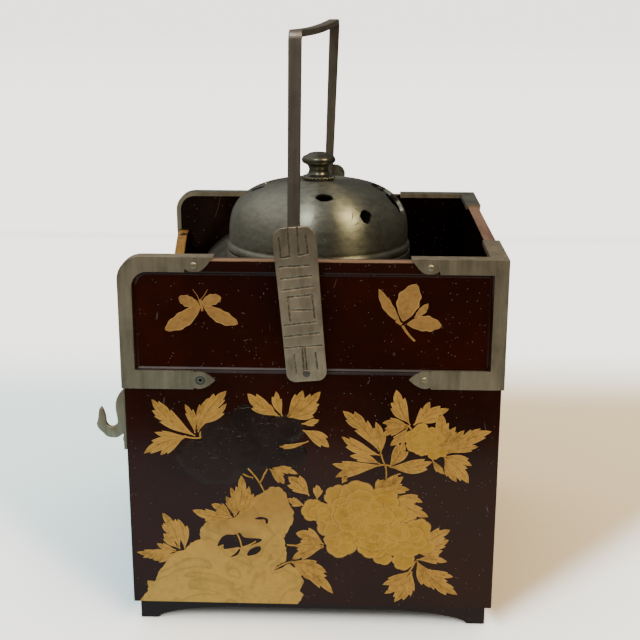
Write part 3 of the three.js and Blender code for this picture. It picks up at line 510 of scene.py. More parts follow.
def makeWood():
    finish, tree, shader, where = newFinish("drawer_wood")
    grain = noise(tree, stretched(tree, where, (0.12, 1, 1)), 320, 6, 0.65, 0.3)
    broad = noise(tree, stretched(tree, where, (0.2, 1, 1)), 60, 3)
    mixed = steps(tree, blendValue(tree, 0.4, grain, broad), 0.35, 0.65)
    colour = blendColour(tree, mixed, woodLook["low"], woodLook["high"])
    rough = scaled(tree, grain, 0.2, woodLook["rough"])
    connect(tree, shader, colour, rough, grain, 0.00015, 0.7)
    return finish


# painted shade for the inside of the empty nail hole
holeShadeLook = {"low": shade(0.002, 0.0015, 0.0012), "high": shade(0.004, 0.003, 0.0024), "rough": 0.8}


def makePaintedHoleShade():
    finish, tree, shader, where = newFinish("hole_black")
    cloud = noise(tree, where, 120, 4)
    colour = blendColour(tree, steps(tree, cloud, 0.35, 0.65), holeShadeLook["low"], holeShadeLook["high"])
    connect(tree, shader, colour, scaled(tree, cloud, 0.2, holeShadeLook["rough"]), cloud, 0.0001, 0.5)
    return finish


finishes = {
    "worn_lacquer": makeWorn(),
    "leaf_gold": makeLeafGold("leaf_gold", 0.55, 0.0),
    "wing_gold": makeLeafGold("wing_gold", 0.08, 0.45),
    "petal_gold": makePetalGold(),
    "rock_gold": makeRockGold(),
    "edge_gold": makePlainGold(),
    "drawer_wood": makeWood(),
    "hole_black": makePaintedHoleShade(),
}
for finishName in lacquerKinds:
    finishes[finishName] = makeLacquer(finishName)
for finishName in metalLook:
    finishes[finishName] = makeMetal(finishName)
print("finishes:", len(finishes))

# Shapes: points in millimetres, scaled when the piece is finished


def roundedPath(corners, pieces=5, closed=True):
    # corners are [a, b] or [a, b, radius]; a radius turns the corner into a short curve
    points = []
    count = len(corners)
    for i, corner in enumerate(corners):
        here = Vector(corner[:2])
        radius = corner[2] if len(corner) > 2 else 0
        ends = not closed and i in (0, count - 1)
        if radius <= 0 or ends:
            points.append(here)
            continue
        before = Vector(corners[i - 1][:2]) - here
        after = Vector(corners[(i + 1) % count][:2]) - here
        reach = min(radius, before.length * 0.49, after.length * 0.49)
        start = here + before.normalized() * reach
        end = here + after.normalized() * reach
        for k in range(pieces + 1):
            t = k / pieces
            points.append(start * (1 - t) ** 2 + here * 2 * t * (1 - t) + end * t * t)
    return points


def area(points):
    total = 0.0
    for a, b in zip(points, points[1:] + points[:1]):
        total += a[0] * b[1] - b[0] * a[1]
    return total / 2


def insetPath(points, amount):  # a closed counter-clockwise path, moved in
    moved = []
    count = len(points)
    for i in range(count):
        here = Vector(points[i])
        before = (here - Vector(points[i - 1])).normalized()
        after = (Vector(points[(i + 1) % count]) - here).normalized()
        first = Vector((-before.y, before.x))
        second = Vector((-after.y, after.x))
        share = max(1 + first.dot(second), 0.4)
        moved.append(here + (first + second) / share * amount)
    return moved


def orient(bm, faces):  # turns a closed shell so that its faces point out
    volume = 0.0
    for face in faces:
        first = face.verts[0].co
        for a, b in zip(face.verts[1:], face.verts[2:]):
            volume += first.dot(a.co.cross(b.co))
    if volume < 0:
        bmesh.ops.reverse_faces(bm, faces=faces)


def bridge(bm, low, high):  # a band of faces between two rings of corners
    faces = []
    for i in range(len(low)):
        j = (i + 1) % len(low)
        faces.append(bm.faces.new((low[i], low[j], high[j], high[i])))
    return faces


def addLoops(bm, loops):
    rows = [[bm.verts.new(point) for point in loop] for loop in loops]
    faces = []
    for low, high in zip(rows, rows[1:]):
        faces += bridge(bm, low, high)
    faces.append(bm.faces.new(reversed(rows[0])))
    faces.append(bm.faces.new(rows[-1]))
    orient(bm, faces)
    return faces


def addPlate(bm, outline, low, high, edge, place, turns=3):
    # an outline given a thickness, with its edges rounded over
    points = [Vector(p) for p in outline]
    if area(points) < 0:
        points.reverse()
    levels = []
    for k in range(turns + 1):
        angle = math.pi / 2 * k / turns
        levels.append((edge * (1 - math.sin(angle)), low + edge * (1 - math.cos(angle))))
    levels += [(inset, low + high - level) for inset, level in reversed(levels)]
    loops = []
    for inset, level in levels:
        loops.append([place(p[0], p[1], level) for p in insetPath(points, inset)])
    return addLoops(bm, loops)


def addTurned(bm, profile, count, centre, axis="z"):
    # [radius, height] points turned about an axis through centre
    def along(radius, angle, height):
        a, b = radius * math.cos(angle), radius * math.sin(angle)
        moved = {"x": (height, a, b), "y": (a, height, b), "z": (a, b, height)}[axis]
        return [c + m for c, m in zip(centre, moved)]

    rows = []
    for radius, height in profile:
        turns = 1 if radius < 1e-6 else count
        rows.append([bm.verts.new(along(radius, math.tau * i / count, height)) for i in range(turns)])
    closed = len(rows[0]) > 1
    faces = []
    for low, high in list(zip(rows, rows[1:])) + ([(rows[-1], rows[0])] if closed else []):
        for i in range(count if len(low) + len(high) > 2 else 0):
            j = (i + 1) % count
            if len(low) == 1:
                corners = (low[0], high[j], high[i])
            elif len(high) == 1:
                corners = (low[i], low[j], high[0])
            else:
                corners = (low[i], low[j], high[j], high[i])
            faces.append(bm.faces.new(corners))
    orient(bm, faces)


def keepFlats(data, sharp):
    # normals weighted by area, so that broad faces shade flat between their rounded edges
    around = [[] for _ in data.vertices]
    for face in data.polygons:
        for vert in face.vertices:
            around[vert].append(face)
    limit = math.cos(math.radians(sharp))
    normals = []
    for face in data.polygons:
        for vert in face.vertices:
            close = [f.normal * f.area for f in around[vert] if f.normal.dot(face.normal) > limit]
            normals.append(sum(close, Vector()).normalized())
    data.normals_split_custom_set(normals)


def seat(piece, body, slot, stands):
    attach(piece, body)
    if stands:
        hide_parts(*stands)


def finishPiece(name, bm, finish, body, slot, stands=(), sharp=35, flats=False):
    for face in bm.faces:
        face.smooth = True
    for edge in bm.edges:
        edge.smooth = len(edge.link_faces) != 2 or edge.calc_face_angle(0) < math.radians(sharp)
    bmesh.ops.scale(bm, vec=(mm, mm, mm), verts=bm.verts)
    data = bpy.data.meshes.new(name)
    bm.to_mesh(data)
    bm.free()
    for key in [finish] if isinstance(finish, str) else finish:
        data.materials.append(finishes[key])
    if flats:
        keepFlats(data, sharp)
    seat(addObject(name, data), body, slot, stands)


def softened(node, finish, body, slot, width, turns=2, sharp=35, pick=None):
    # a copy of a node with its triangles merged into faces and its edges rounded
    bm = bmesh.new()
    bm.from_mesh(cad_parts[node].data)
    bmesh.ops.remove_doubles(bm, verts=bm.verts, dist=0.004 * mm)
    bmesh.ops.dissolve_limit(bm, angle_limit=math.radians(0.6), verts=bm.verts, edges=bm.edges)
    bmesh.ops.scale(bm, vec=(1 / mm,) * 3, verts=bm.verts)
    edges = [e for e in bm.edges if len(e.link_faces) == 2 and e.calc_face_angle(0) > math.radians(sharp)]
    rounding = {"offset": width, "offset_type": "OFFSET", "segments": turns, "profile": 0.5}
    bmesh.ops.bevel(bm, geom=edges, affect="EDGES", clamp_overlap=True, **rounding)
    if pick:
        bm.normal_update()
        for face in bm.faces:
            face.material_index = pick(face.normal)
    finishPiece(node + "_soft", bm, finish, body, slot, (node,), sharp, True)


def turnedPiece(name, corners, count, centre, finish, body, slot, node, axis="z", pieces=4):
    # corners are [radius, height], or [radius, height, how far the corner is rounded]
    bm = bmesh.new()
    addTurned(bm, [tuple(p) for p in roundedPath(corners, pieces, False)], count, centre, axis)
    finishPiece(name, bm, finish, body, slot, (node,), 50)


# Wooden case

panelLook = {
    "rim": 5.6,
    "topRim": 6,
    "bottom": 124,
    "step": 0.5,
    "depth": 1.7,
    "lip": 2.1,
    "radius": 7.5,
    "corner": 10.1,
    "edge": 0.5,
}


def boardLine(inset):
    low, high, reach = bodyBottom + inset, sideTop - inset, halfLength - inset
    return cornered(-reach, reach, low, high, panelLook["corner"] - inset)


def panelLine(inset):
    low = bodyBottom + panelLook["bottom"] + inset
    high = sideTop - panelLook["topRim"] - inset
    reach = halfLength - panelLook["rim"] - inset
    return cornered(-reach, reach, low, high, panelLook["radius"] - inset)


def cornered(left, right, low, high, radius):  # a rectangle whose top left corner is an arc
    points = [(left, low), (right, low), (right, high)]
    for k in range(13):
        angle = math.pi / 2 * (1 + k / 12)
        points.append((left + radius + radius * math.cos(angle), high - radius + radius * math.sin(angle)))
    return [Vector((caseX + a, b)) for a, b in points]


def boardLevels():  # [outline, depth] from the inner face out, then down the panel's beaded lip
    edge, lip = panelLook["edge"], panelLook["lip"]
    beads = halfWidth - panelLook["step"]
    floor = halfWidth - panelLook["depth"]
    return [
        (boardLine(edge), innerHalfWidth),
        (boardLine(edge * 0.3), innerHalfWidth + edge * 0.3),
        (boardLine(0), innerHalfWidth + edge),
        (boardLine(0), halfWidth - edge),
        (boardLine(edge * 0.3), halfWidth - edge * 0.3),
        (boardLine(edge), halfWidth),
        (panelLine(-0.25), halfWidth),
        (panelLine(-0.07), halfWidth - 0.07),
        (panelLine(0), halfWidth - 0.25),
        (panelLine(0), beads),
        (panelLine(0.2), beads - 0.05),
        (panelLine(0.75), beads - 0.30),
        (panelLine(0.88), beads - 0.62),
        (panelLine(1.08), beads - 0.62),
        (panelLine(1.22), beads - 0.42),
        (panelLine(lip - 0.3), floor + 0.38),
        (panelLine(lip), floor),
    ]


def makeSideBoard(side):
    look = panelLook
    bm = bmesh.new()
    addLoops(bm, [[(a, sides[side] * depth, b) for a, b in line] for line, depth in boardLevels()])
    bm.normal_update()
    lipTop = bodyBottom + look["bottom"] + look["lip"]
    for face in bm.faces:
        centre = face.calc_center_median()
        # inside faces: dark inner lacquer with painted shade
        if abs(centre.y) < innerHalfWidth + 0.1:
            face.material_index = 1
        inPanel = abs(centre.x - caseX) < halfLength - look["rim"] and lipTop - 3 < centre.z < lipTop + 0.1
        if inPanel and face.normal.z > 0.15 and abs(face.normal.y) < 0.98:  # the lip's upward ledge holds dust, and its paler grey is also a painted highlight
            face.material_index = 2
        # the sunk panel's face takes the redder copy of the lacquer: painted light
        if abs(abs(centre.y) - halfWidth + look["depth"]) < 0.01:
            face.material_index = 3
    finish = ("side_lacquer", "inside_lacquer_and_shade", "dust_and_highlight_lacquer", "panel_painted_light_lacquer")
    finishPiece("side_" + side, bm, finish, "case", "brown_lacquer", ("side_board_" + side,), 40, True)


def soften(names, finish, slot, width, turns=2, sharp=35, pick=None):
    for name in names:
        softened(name, finish, "case", slot, width, turns, sharp, pick)


for sideName in sides:
    makeSideBoard(sideName)
# the rear board's inner face: dark inner lacquer with painted shade
rearFinish = ("rear_lacquer", "inside_lacquer_and_shade")
soften(["rear_board"], rearFinish, "brown_lacquer", 0.5, pick=lambda n: n.x < -0.9)
frontFinish = ("edge_gold", "plain_lacquer")
soften(["front_scooped_board"], frontFinish, "gold_lacquer", 0.9, 3, 30, lambda n: abs(n.x) > 0.9)
soften(["tray_floor", "drawer_shelf", "bottom_board"], "black_lacquer", "black_lacquer", 0.3)
railNames = ["base_rail_" + place for place in ("front", "rear", "near", "far")]
soften(railNames, "black_lacquer", "black_lacquer", 0.35, 2, 30)
print("case boards are on")

# Corner mounts

for endName in ("front", "rear"):
    for sideName in sides:
        edges = (lambda n: abs(n.y) < 0.6) if sideName == "far" else None
        mount = f"corner_mount_{endName}_{sideName}"
        soften([mount], ("pewter", "patina"), "grey_metal", 0.32, 2, 28, edges)
print("corner mounts are on")

# Handle

handleLook = {  # millimetres, leans in degrees
    "strapWidth": 19.2,
    "strapTopWidth": 20.6,
    "strapLength": 74.7,
    "strapFoot": 4,
    "topRadius": 6,
    "footRadius": 4.5,
    "strapEdge": 0.35,
    "lean": {"near": -4.9, "far": 3.7},
    "barWidth": 6,
    "barThickness": 3.3,
    "barFoot": {"near": 5.7, "far": 5},
    "armTop": {"near": -7.3, "far": 5.2},
    "bend": 4.2,
    "sag": 1.2,
    "eye": 4.4,
}
pivotX, _, pivotZ = middle("pivot_washer_near")
handleTop = span("handle_bail")[1][2]
barOuter = span("handle_bail")[1][1]
strapTop = handleLook["strapLength"] - handleLook["strapFoot"]


def barSection(width, thickness, corner=0.55):  # rounded rectangle, as [across, deep]
    a, b = width / 2, thickness / 2
    return roundedPath([(-a, -b, corner), (a, -b, corner), (a, b, corner), (-a, b, corner)], 3)


def bailStations():
    # [x, y, z, angle of the bar in the YZ plane, width], x left open over the crossbar
    look = handleLook
    half = look["barThickness"] / 2
    radius = look["bend"] - half
    end = barOuter - look["bend"]

    def leg(side, angle):
        foot = look["barFoot"][side]
        lean = math.radians(look["lean"][side])
        bendX = pivotX + math.sin(lean) * strapTop
        bendZ = pivotZ + math.cos(lean) * strapTop
        topX, topZ = caseX + look["armTop"][side], handleTop - look["bend"]
        rows = [
            (pivotX, pivotZ, foot),
            (bendX - 0.06 * (bendX - pivotX), bendZ - 4, foot),
            (bendX, bendZ, foot),
            (bendX + (topX - bendX) * 0.06, bendZ + 4, foot),
            (topX, topZ, look["barWidth"]),
        ]
        return [(x, sides[side] * (barOuter - half), z, angle, width) for x, z, width in rows]

    def corner(side, angle):
        y = side * end - radius * math.cos(angle)
        z = handleTop - look["bend"] + radius * math.sin(angle)
        return (None, y, z, angle, look["barWidth"])

    stations = leg("near", 0.0)
    stations += [corner(-1, math.pi / 2 * k / 6) for k in range(1, 7)]
    for k in range(1, 20):
        share = k / 10 - 1
        z = handleTop - half - look["sag"] * math.cos(math.pi / 2 * share)
        stations.append((None, end * share, z, math.pi / 2, look["barWidth"]))
    stations += [corner(1, math.pi / 2 * (1 + k / 6)) for k in range(6)]
    return stations + leg("far", math.pi)[::-1]


def makeBail():
    look = handleLook
    first, last = look["armTop"]["near"], look["armTop"]["far"]
    bm = bmesh.new()
    loops = []
    for x, y, z, angle, width in bailStations():
        if x is None:
            x = caseX + first + (last - first) * (y + barOuter) / (2 * barOuter)
        loop = []
        for across, deep in barSection(width, look["barThickness"]):
            loop.append((x + across, y - deep * math.cos(angle), z + deep * math.sin(angle)))
        loops.append(loop)
    addLoops(bm, loops)
    half = look["barThickness"] / 2
    eye = roundedPath([(0, -half), (look["eye"], -half, 0.5), (look["eye"], half, 0.5), (0, half)], 3, False)
    for sign in sides.values():
        addTurned(bm, [tuple(p) for p in eye], 32, (pivotX, sign * (barOuter - half), pivotZ), "y")
    finishPiece("bail_bar", bm, "bar_pewter", "handle", "grey_metal", ("handle_bail",), 40)


# Fret cut into each strap, as [across, up] in millimetres from the pivot on the strap's own middle line
fretLines = [
    ((-7.2, 66.0), (-7.0, 56.8)), ((-2.8, 70.4), (-2.9, 56.8)), ((-7.0, 56.8), (-2.9, 57.0)),
    ((1.6, 70.4), (1.3, 57.3)), ((5.3, 66.4), (5.6, 58.0)), ((1.3, 57.3), (5.6, 58.0)),
    ((-8.4, 52.5), (5.8, 52.3)), ((-7.8, 46.8), (6.3, 47.3)), ((-7.8, 41.3), (6.8, 42.2)),
    ((-5.6, 37.8), (5.8, 38.2)), ((-5.6, 37.8), (-5.4, 26.4)), ((5.8, 38.2), (6.1, 27.0)),
    ((-4.0, 31.4), (4.6, 31.0)), ((-8.4, 24.4), (7.4, 25.0)), ((-8.8, 18.9), (8.0, 19.4)),
    ((-8.9, 13.3), (8.4, 13.4)), ((-5.0, 9.6), (-4.8, 0.2)), ((-0.9, 12.4), (-1.1, 1.0)),
    ((0.3, 12.4), (0.3, 1.0)), ((5.1, 10.2), (5.4, 1.6)),
]
fretLook = {"depth": 0.28, "width": 0.74, "waver": 0.05}


def strapHalf(up):  # half the strap's width at a height, with its rounded ends
    look = handleLook
    share = (up + look["strapFoot"]) / look["strapLength"]
    half = (look["strapWidth"] + (look["strapTopWidth"] - look["strapWidth"]) * share**2) / 2
    for edge, radius in ((up + look["strapFoot"], look["footRadius"]), (strapTop - up, look["topRadius"])):
        if edge < radius:
            half -= radius - math.sqrt(max(radius**2 - (radius - edge) ** 2, 0))
    return half


def fretDepth(across, up):
    deepest = 0.0
    waver = fretLook["waver"]
    across += waver * math.sin(up * 2.3 + 0.7) + waver * math.sin(up * 0.9)
    up += waver * math.sin(across * 1.9 + up * 0.2) + waver * math.sin(across * 0.7 + up)
    here = Vector((across, up))
    for start, end in fretLines:
        a, b = Vector(start), Vector(end)
        run = b - a
        t = min(max((here - a).dot(run) / run.length_squared, 0), 1)
        gap = (here - a - run * t).length
        if gap < fretLook["width"]:
            deepest = max(deepest, math.cos(gap / fretLook["width"] * math.pi / 2) ** 1.5)
    return deepest * fretLook["depth"]


def strapGrid(rows, columns):  # [across, up, depth] of a close grid, closer towards the strap's ends
    look = handleLook
    edge = look["strapEdge"]
    grid = []
    for i in range(rows + 1):
        up = -look["strapFoot"] + look["strapLength"] * (0.5 - 0.5 * math.cos(math.pi * i / rows)) * 0.35
        up += look["strapLength"] * i / rows * 0.65
        half = strapHalf(up)
        nearEnd = min(up + look["strapFoot"], strapTop - up)
        line = []
        for j in range(columns + 1):
            across = half * (2 * j / columns - 1)
            rim = min(half - abs(across), nearEnd)
            drop = edge - math.sqrt(max(edge**2 - (edge - min(rim, edge)) ** 2, 0))
            dented = 0.10 * math.sin(up * 0.11 + 1) * math.sin(across * 0.3)
            depth = drop + fretDepth(across, up) + 0.05 - dented * 0.5
            line.append((across, up, max(depth, 0)))
        grid.append(line)
    return grid


def makeStrap(side):
    # a close grid over the face carries the cut lines; its border rolls over to the edge
    sign = sides[side]
    low, high = span("handle_strap_" + side)
    face = high[1] if sign > 0 else low[1]
    back = low[1] if sign > 0 else high[1]
    lean = math.radians(handleLook["lean"][side])
    rows, columns = 236, 62
    grid = strapGrid(rows, columns)
    bm = bmesh.new()

    def place(across, up, level):
        x = pivotX + across * math.cos(lean) + up * math.sin(lean)
        z = pivotZ - across * math.sin(lean) + up * math.cos(lean)
        return bm.verts.new((x, level, z))

    front = [[place(a, u, face - sign * d) for a, u, d in line] for line in grid]
    cuts = {}
    for verts, line in zip(front, grid):
        for vert, (across, up, _) in zip(verts, line):
            cuts[vert] = fretDepth(across, up) / fretLook["depth"]
    rear = [[place(a, u, back) for a, u, d in line] for line in (grid[0], grid[-1])]
    faces = []
    for low, high in zip(front, front[1:]):
        for j in range(columns):
            faces.append(bm.faces.new((low[j], low[j + 1], high[j + 1], high[j])))
    leftEdge = [line[0] for line in front]
    rightEdge = [line[-1] for line in front]
    leftMiddle = [place(line[0][0], line[0][1], back) for line in grid[1:-1]]
    rightMiddle = [place(line[-1][0], line[-1][1], back) for line in grid[1:-1]]
    leftBack = [rear[0][0], *leftMiddle, rear[1][0]]
    rightBack = [rear[0][-1], *rightMiddle, rear[1][-1]]
    for i in range(rows):
        faces.append(bm.faces.new((leftBack[i], leftEdge[i], leftEdge[i + 1], leftBack[i + 1])))
        faces.append(bm.faces.new((rightEdge[i], rightBack[i], rightBack[i + 1], rightEdge[i + 1])))
    for j in range(columns):
        faces.append(bm.faces.new((rear[0][j], rear[0][j + 1], front[0][j + 1], front[0][j])))
        faces.append(bm.faces.new((front[-1][j], front[-1][j + 1], rear[1][j + 1], rear[1][j])))
    around = rear[0] + rightMiddle + rear[1][::-1] + leftMiddle[::-1]
    faces.append(bm.faces.new(around[::-1]))
    faces[-1].material_index = 1
    bmesh.ops.recalc_face_normals(bm, faces=faces)
    orient(bm, faces)
    layer = bm.loops.layers.uv.new("cut")
    for made in faces:
        for loop in made.loops:
            loop[layer].uv = (cuts.get(loop.vert, 0), 0)
    finish = ("strap_pewter", "patina")
    finishPiece("strap_" + side, bm, finish, "handle", "grey_metal", ("handle_strap_" + side,), 60)


makeBail()
for sideName in sides:
    makeStrap(sideName)
soften(["pivot_washer_" + sideName for sideName in sides], "pewter", "grey_metal", 0.3)
print("handle is on")


def makePin(side):
    # the pin's end is hammered almost flush with the strap
    low, high = span("pivot_pin_" + side)
    outer = max(abs(low[1]), abs(high[1]))
    inner = min(abs(low[1]), abs(high[1]))
    tail = [(0, 0), (1.5, 0.1), (2.3, 0.7), (1.6, 0.8)]
    head = [(1.6, 0.7), (1.85, 0.6), (1.8, 0.42), (1.4, 0.30), (0.9, 0.25), (0, 0.24)]
    profile = [(r, inner + h) for r, h in tail] + [(r, outer - h) for r, h in head]
    bm = bmesh.new()
    addTurned(bm, [(r, sides[side] * h) for r, h in profile], 24, (pivotX, 0, pivotZ), "y")
    finishPiece("pin_" + side, bm, "bar_pewter", "case", "grey_metal", ("pivot_pin_" + side,), 50)


for sideName in sides:
    makePin(sideName)

# Pipe hooks

hookLook = {"thickness": 2.6, "round": 0.25, "tangHeight": 21.5, "tangRadius": 1.2, "tangLength": 14}
hookCurves = [  # outwards and up from the foot of the plate; each curve starts where the last one ends
    [(0, 30.3), (2, 28.6), (3.6, 25.4), (3.6, 22)],
    [(3.6, 22), (3.6, 18), (2.6, 16), (3, 13.6)],
    [(3, 13.6), (4.2, 10.4), (7.8, 10.4), (8.6, 13.6)],
    [(8.6, 13.6), (8.8, 16.4), (9, 19.6), (10.9, 21.6)],
    [(10.9, 21.6), (12.6, 20.4), (11.6, 16.8), (13.3, 13)],
    [(13.3, 13), (13, 9.6), (10.4, 8.9), (9.4, 7.2)],
    [(9.4, 7.2), (8, 5.4), (5.4, 5.9), (3.8, 5.7)],
    [(3.8, 5.7), (2.4, 6), (1.4, 7.4), (0, 7.9)],
]


def makeHook(side):
    look = hookLook
    plateLow, plateHigh = span("hook_plate_" + side)
    faceX, foot = plateLow[0], plateLow[2]
    mid = (plateLow[1] + plateHigh[1]) / 2
    outline = []
    for curve in hookCurves:
        for k in range(8):
            t = k / 8
            s = 1 - t
            weights = (s**3, 3 * s * s * t, 3 * s * t * t, t**3)
            outline.append([sum(point[i] * w for point, w in zip(curve, weights)) for i in (0, 1)])
    outline.append(list(hookCurves[-1][-1]))
    half = look["thickness"] / 2
    bm = bmesh.new()
    addPlate(bm, outline, -half, half, look["round"], lambda a, b, h: (faceX - a, mid + h, foot + b))
    radius, length = look["tangRadius"], look["tangLength"]
    tang = [(0, -1), (radius, -1), (radius, length), (0, length)]
    addTurned(bm, tang, 16, (faceX, mid, foot + look["tangHeight"]), "x")
    finishPiece("hook_" + side, bm, "pewter", "case", "grey_metal", ("pipe_hook_" + side,), 50)


for sideName in sides:
    makeHook(sideName)
    soften(["hook_plate_" + sideName], "pewter", "grey_metal", 0.4)
print("pipe hooks are on")

# Brazier

bowlLow, bowlHigh = span("brazier_bowl")
brazierMiddle = [(bowlLow[0] + bowlHigh[0]) / 2, (bowlLow[1] + bowlHigh[1]) / 2, 0]
domeTop = span("brazier_lid")[1][2]
domeLook = {
    "radius": 48.5,
    "rise": 30.5,
    "shape": 2.9,
    "wall": 1.6,
    "collar": 49.8,
    "collarHeight": 4,
    "skirt": 2.3,
    "spigot": 46.6,
    "spigotWall": 1.3,
    "spigotDepth": 4.2,
    "seed": 4,
}
domeFoot = domeTop - domeLook["rise"]
domeHoles = [  # [degrees round, degrees up, width, height, turn], then thin splits near them
    (-83, 38, 9.5, 6, 0),
    (-55, 21, 7, 7.5, 0),
    (-1, 37, 15, 11, 10),
    (-12, 25, 13, 14, -40),
    (38, 38, 9.5, 6, 0),
    (66, 21, 7, 7.5, 0),
    (112, 30, 15, 6, 15),
    (148, 21, 7, 7.5, 0),
    (178, 45, 6, 4, 0),
    (-168, 37, 10, 4, 60),
    (-65, 22, 5.5, 0.4, 70),
    (-62.5, 17.5, 3.6, 0.35, 25),
    (-60.5, 26.5, 3.4, 0.35, 130),
    (-76.5, 35.5, 4.2, 0.35, 20),
    (-47.5, 17, 3.2, 0.35, 120),
    (57, 22, 4.5, 0.4, 60),
]


def domeLine(wall, count):
    look = domeLook
    points = []
    for i in range(count + 1):
        angle = math.pi / 2 * i / count
        radius = (look["radius"] - wall) * max(math.cos(angle), 0) ** (2 / look["shape"])
        points.append((radius, domeFoot + (look["rise"] - wall) * math.sin(angle) ** (2 / look["shape"])))
    points[-1] = (0, points[-1][1])
    return points


def makeDome():
    look = domeLook
    collarTop = domeFoot - look["skirt"]
    collarLow = collarTop - look["collarHeight"]
    bead = look["collar"]
    inner = look["spigot"] - look["spigotWall"]
    low = collarLow - look["spigotDepth"]
    profile = [
        (inner, low),
        (look["spigot"], low),
        (look["spigot"], collarLow),
        (bead - 1.0, collarLow),
        (bead - 0.35, collarLow + 0.45),
        (bead - 0.05, collarLow + 1.2),
        (bead, collarLow + 2.0),
        (bead - 0.2, collarLow + 2.9),
        (bead - 0.7, collarLow + 3.6),
        (bead - 1.6, collarTop + 0.1),
        (look["radius"] - 0.35, collarTop + 0.5),
        (look["radius"] - 0.05, collarTop + 1.0),
        *domeLine(0, 30),
        *reversed(domeLine(look["wall"], 20)),
        (inner, collarTop),
    ]
    bm = bmesh.new()
    addTurned(bm, profile, 144, brazierMiddle)
    bmesh.ops.scale(bm, vec=(mm,) * 3, verts=bm.verts)
    return bm


def addPunch(bm, hole, chance):
    # an uneven oval punch, pointing out from the dome's springing centre
    around, up, width, height, turn = hole
    around, up = math.radians(around), math.radians(up)
    out = Vector((math.cos(around) * math.cos(up), math.sin(around) * math.cos(up), math.sin(up)))
    aim = out.to_track_quat("Z", "Y").to_matrix()
    spin = Matrix.Rotation(math.radians(turn), 3, "Z")
    centre = Vector((brazierMiddle[0], brazierMiddle[1], domeFoot))
    outline = []
    for k in range(22):
        angle = math.tau * k / 22
        grow = 1 + chance.uniform(-0.08, 0.08)
        outline.append(Vector((math.cos(angle) * width / 2 * grow, math.sin(angle) * height / 2 * grow, 0)))
    loops = []
    for reach in (20, 60):
        loops.append([(centre + aim @ (spin @ p + Vector((0, 0, reach)))) * mm for p in outline])
    addLoops(bm, loops)


def makeLid():
    punches = bmesh.new()
    chance = random.Random(domeLook["seed"])
    for hole in domeHoles:
        addPunch(punches, hole, chance)
    things = []
    for name, bm in (("dome", makeDome()), ("punches", punches)):
        data = bpy.data.meshes.new(name)
        bm.to_mesh(data)
        bm.free()
        things.append(addObject(name, data))
    cut = things[0].modifiers.new("cut", "BOOLEAN")
    cut.operation = "DIFFERENCE"
    cut.solver = "EXACT"
    cut.use_self = True
    cut.object = things[1]
    bm = bmesh.new()
    bm.from_mesh(evaluated(things[0]))
    for thing in things:
        bpy.data.objects.remove(thing)
    bmesh.ops.remove_doubles(bm, verts=bm.verts, dist=0.002 * mm)
    bmesh.ops.scale(bm, vec=(1 / mm,) * 3, verts=bm.verts)
    finishPiece("dome_lid", bm, "dome_pewter", "brazier_cover", "brazier_metal", ("brazier_lid",), 38)


def makeBowl():
    b, t = bowlLow[2], bowlHigh[2]
    corners = [
        (0, b + 1.2),
        (32, b + 1.2),
        (32.4, b, 0.4),
        (35, b, 0.5),
        (35.6, b + 3, 2),
        (43.2, b + 9, 6),
        (47.6, b + 22, 9),
        (47.2, b + 34, 6),
        (47.8, t - 6.4, 1),
        (49.4, t - 5.0, 0.5),
        (50, t - 4.2, 0.5),
        (50, t - 0.2, 0.8),
        (47.4, t - 0.2, 0.8),
        (47.4, t - 4.6, 0.3),
        (45.6, b + 22, 8),
        (40.6, b + 11, 6),
        (33, b + 5, 4),
        (0, b + 4),
    ]
    material, slot = "dome_pewter", "brazier_metal"
    turnedPiece("bowl", corners, 96, brazierMiddle, material, "brazier", slot, "brazier_bowl", "z", 5)


knobLook = {"disc": 9.05, "neck": 5, "ring": 8, "bead": 0.85, "beads": 26, "stud": 1.9, "rise": 14.1}
knobBase = span("brazier_lid_knob")[1][2] - knobLook["rise"]


def makeKnob():
    ring, neck, disc, stud = (knobLook[key] for key in ("ring", "neck", "disc", "stud"))
    low, high = span("brazier_lid_knob")
    under, top = low[2], high[2]
    ringTop = knobBase + 2 * knobLook["bead"]
    discLow = knobBase + knobLook["rise"] * 0.56
    corners = [
        (0, under),
        (3, under + 0.2, 0.3),
        (3.4, under + 1.2, 0.2),
        (stud, under + 1.2),
        (stud, knobBase),
        (ring + 0.1, knobBase, 0.3),
        (ring + 0.1, ringTop, 0.5),
        (neck + 0.9, ringTop + 0.9, 1.2),
        (neck - 0.1, ringTop + 3.4, 1.6),
        (neck + 1.0, discLow - 0.2, 1.2),
        (disc - 0.4, discLow + 0.9, 1.0),
        (disc + 0.15, discLow + 2.3, 1.0),
        (disc - 0.4, discLow + 4.0, 0.8),
        (disc - 2.6, discLow + 5.0, 1.2),
        (disc * 0.5, top + 0.05, 3.0),
        (0, top),
    ]
    material, slot = "knob_pewter", "brazier_metal"
    turnedPiece("lid_knob", corners, 64, brazierMiddle, material, "brazier_cover", slot, "brazier_lid_knob")


makeLid()
makeBowl()
makeKnob()
print("brazier is on")

# Ash pot

potLow, potHigh = span("ash_pot")
ashMiddle = [(potLow[0] + potHigh[0]) / 2, (potLow[1] + potHigh[1]) / 2, 0]
potLook = {"wall": 1.7, "lidWall": 1.5, "lidEdge": 1.3, "spigot": 18.3, "spigotInner": 17.1, "knob": 7}


def makeAshPot():
    b, t, r = potLow[2], potHigh[2], (potHigh[0] - potLow[0]) / 2
    inner = r - potLook["wall"]
    corners = [
        (0, b),
        (r - 2, b, 1),
        (r, b + 2, 2),
        (r - 0.3, b + 9, 4),
        (r, t - 3, 3),
        (r, t, 0.7),
        (inner, t, 0.5),
        (inner, b + 3, 1.5),
        (0, b + 2),
    ]
    turnedPiece("pot", corners, 72, ashMiddle, "dark_pewter", "ash_vessel", "ash_pot_metal", "ash_pot")


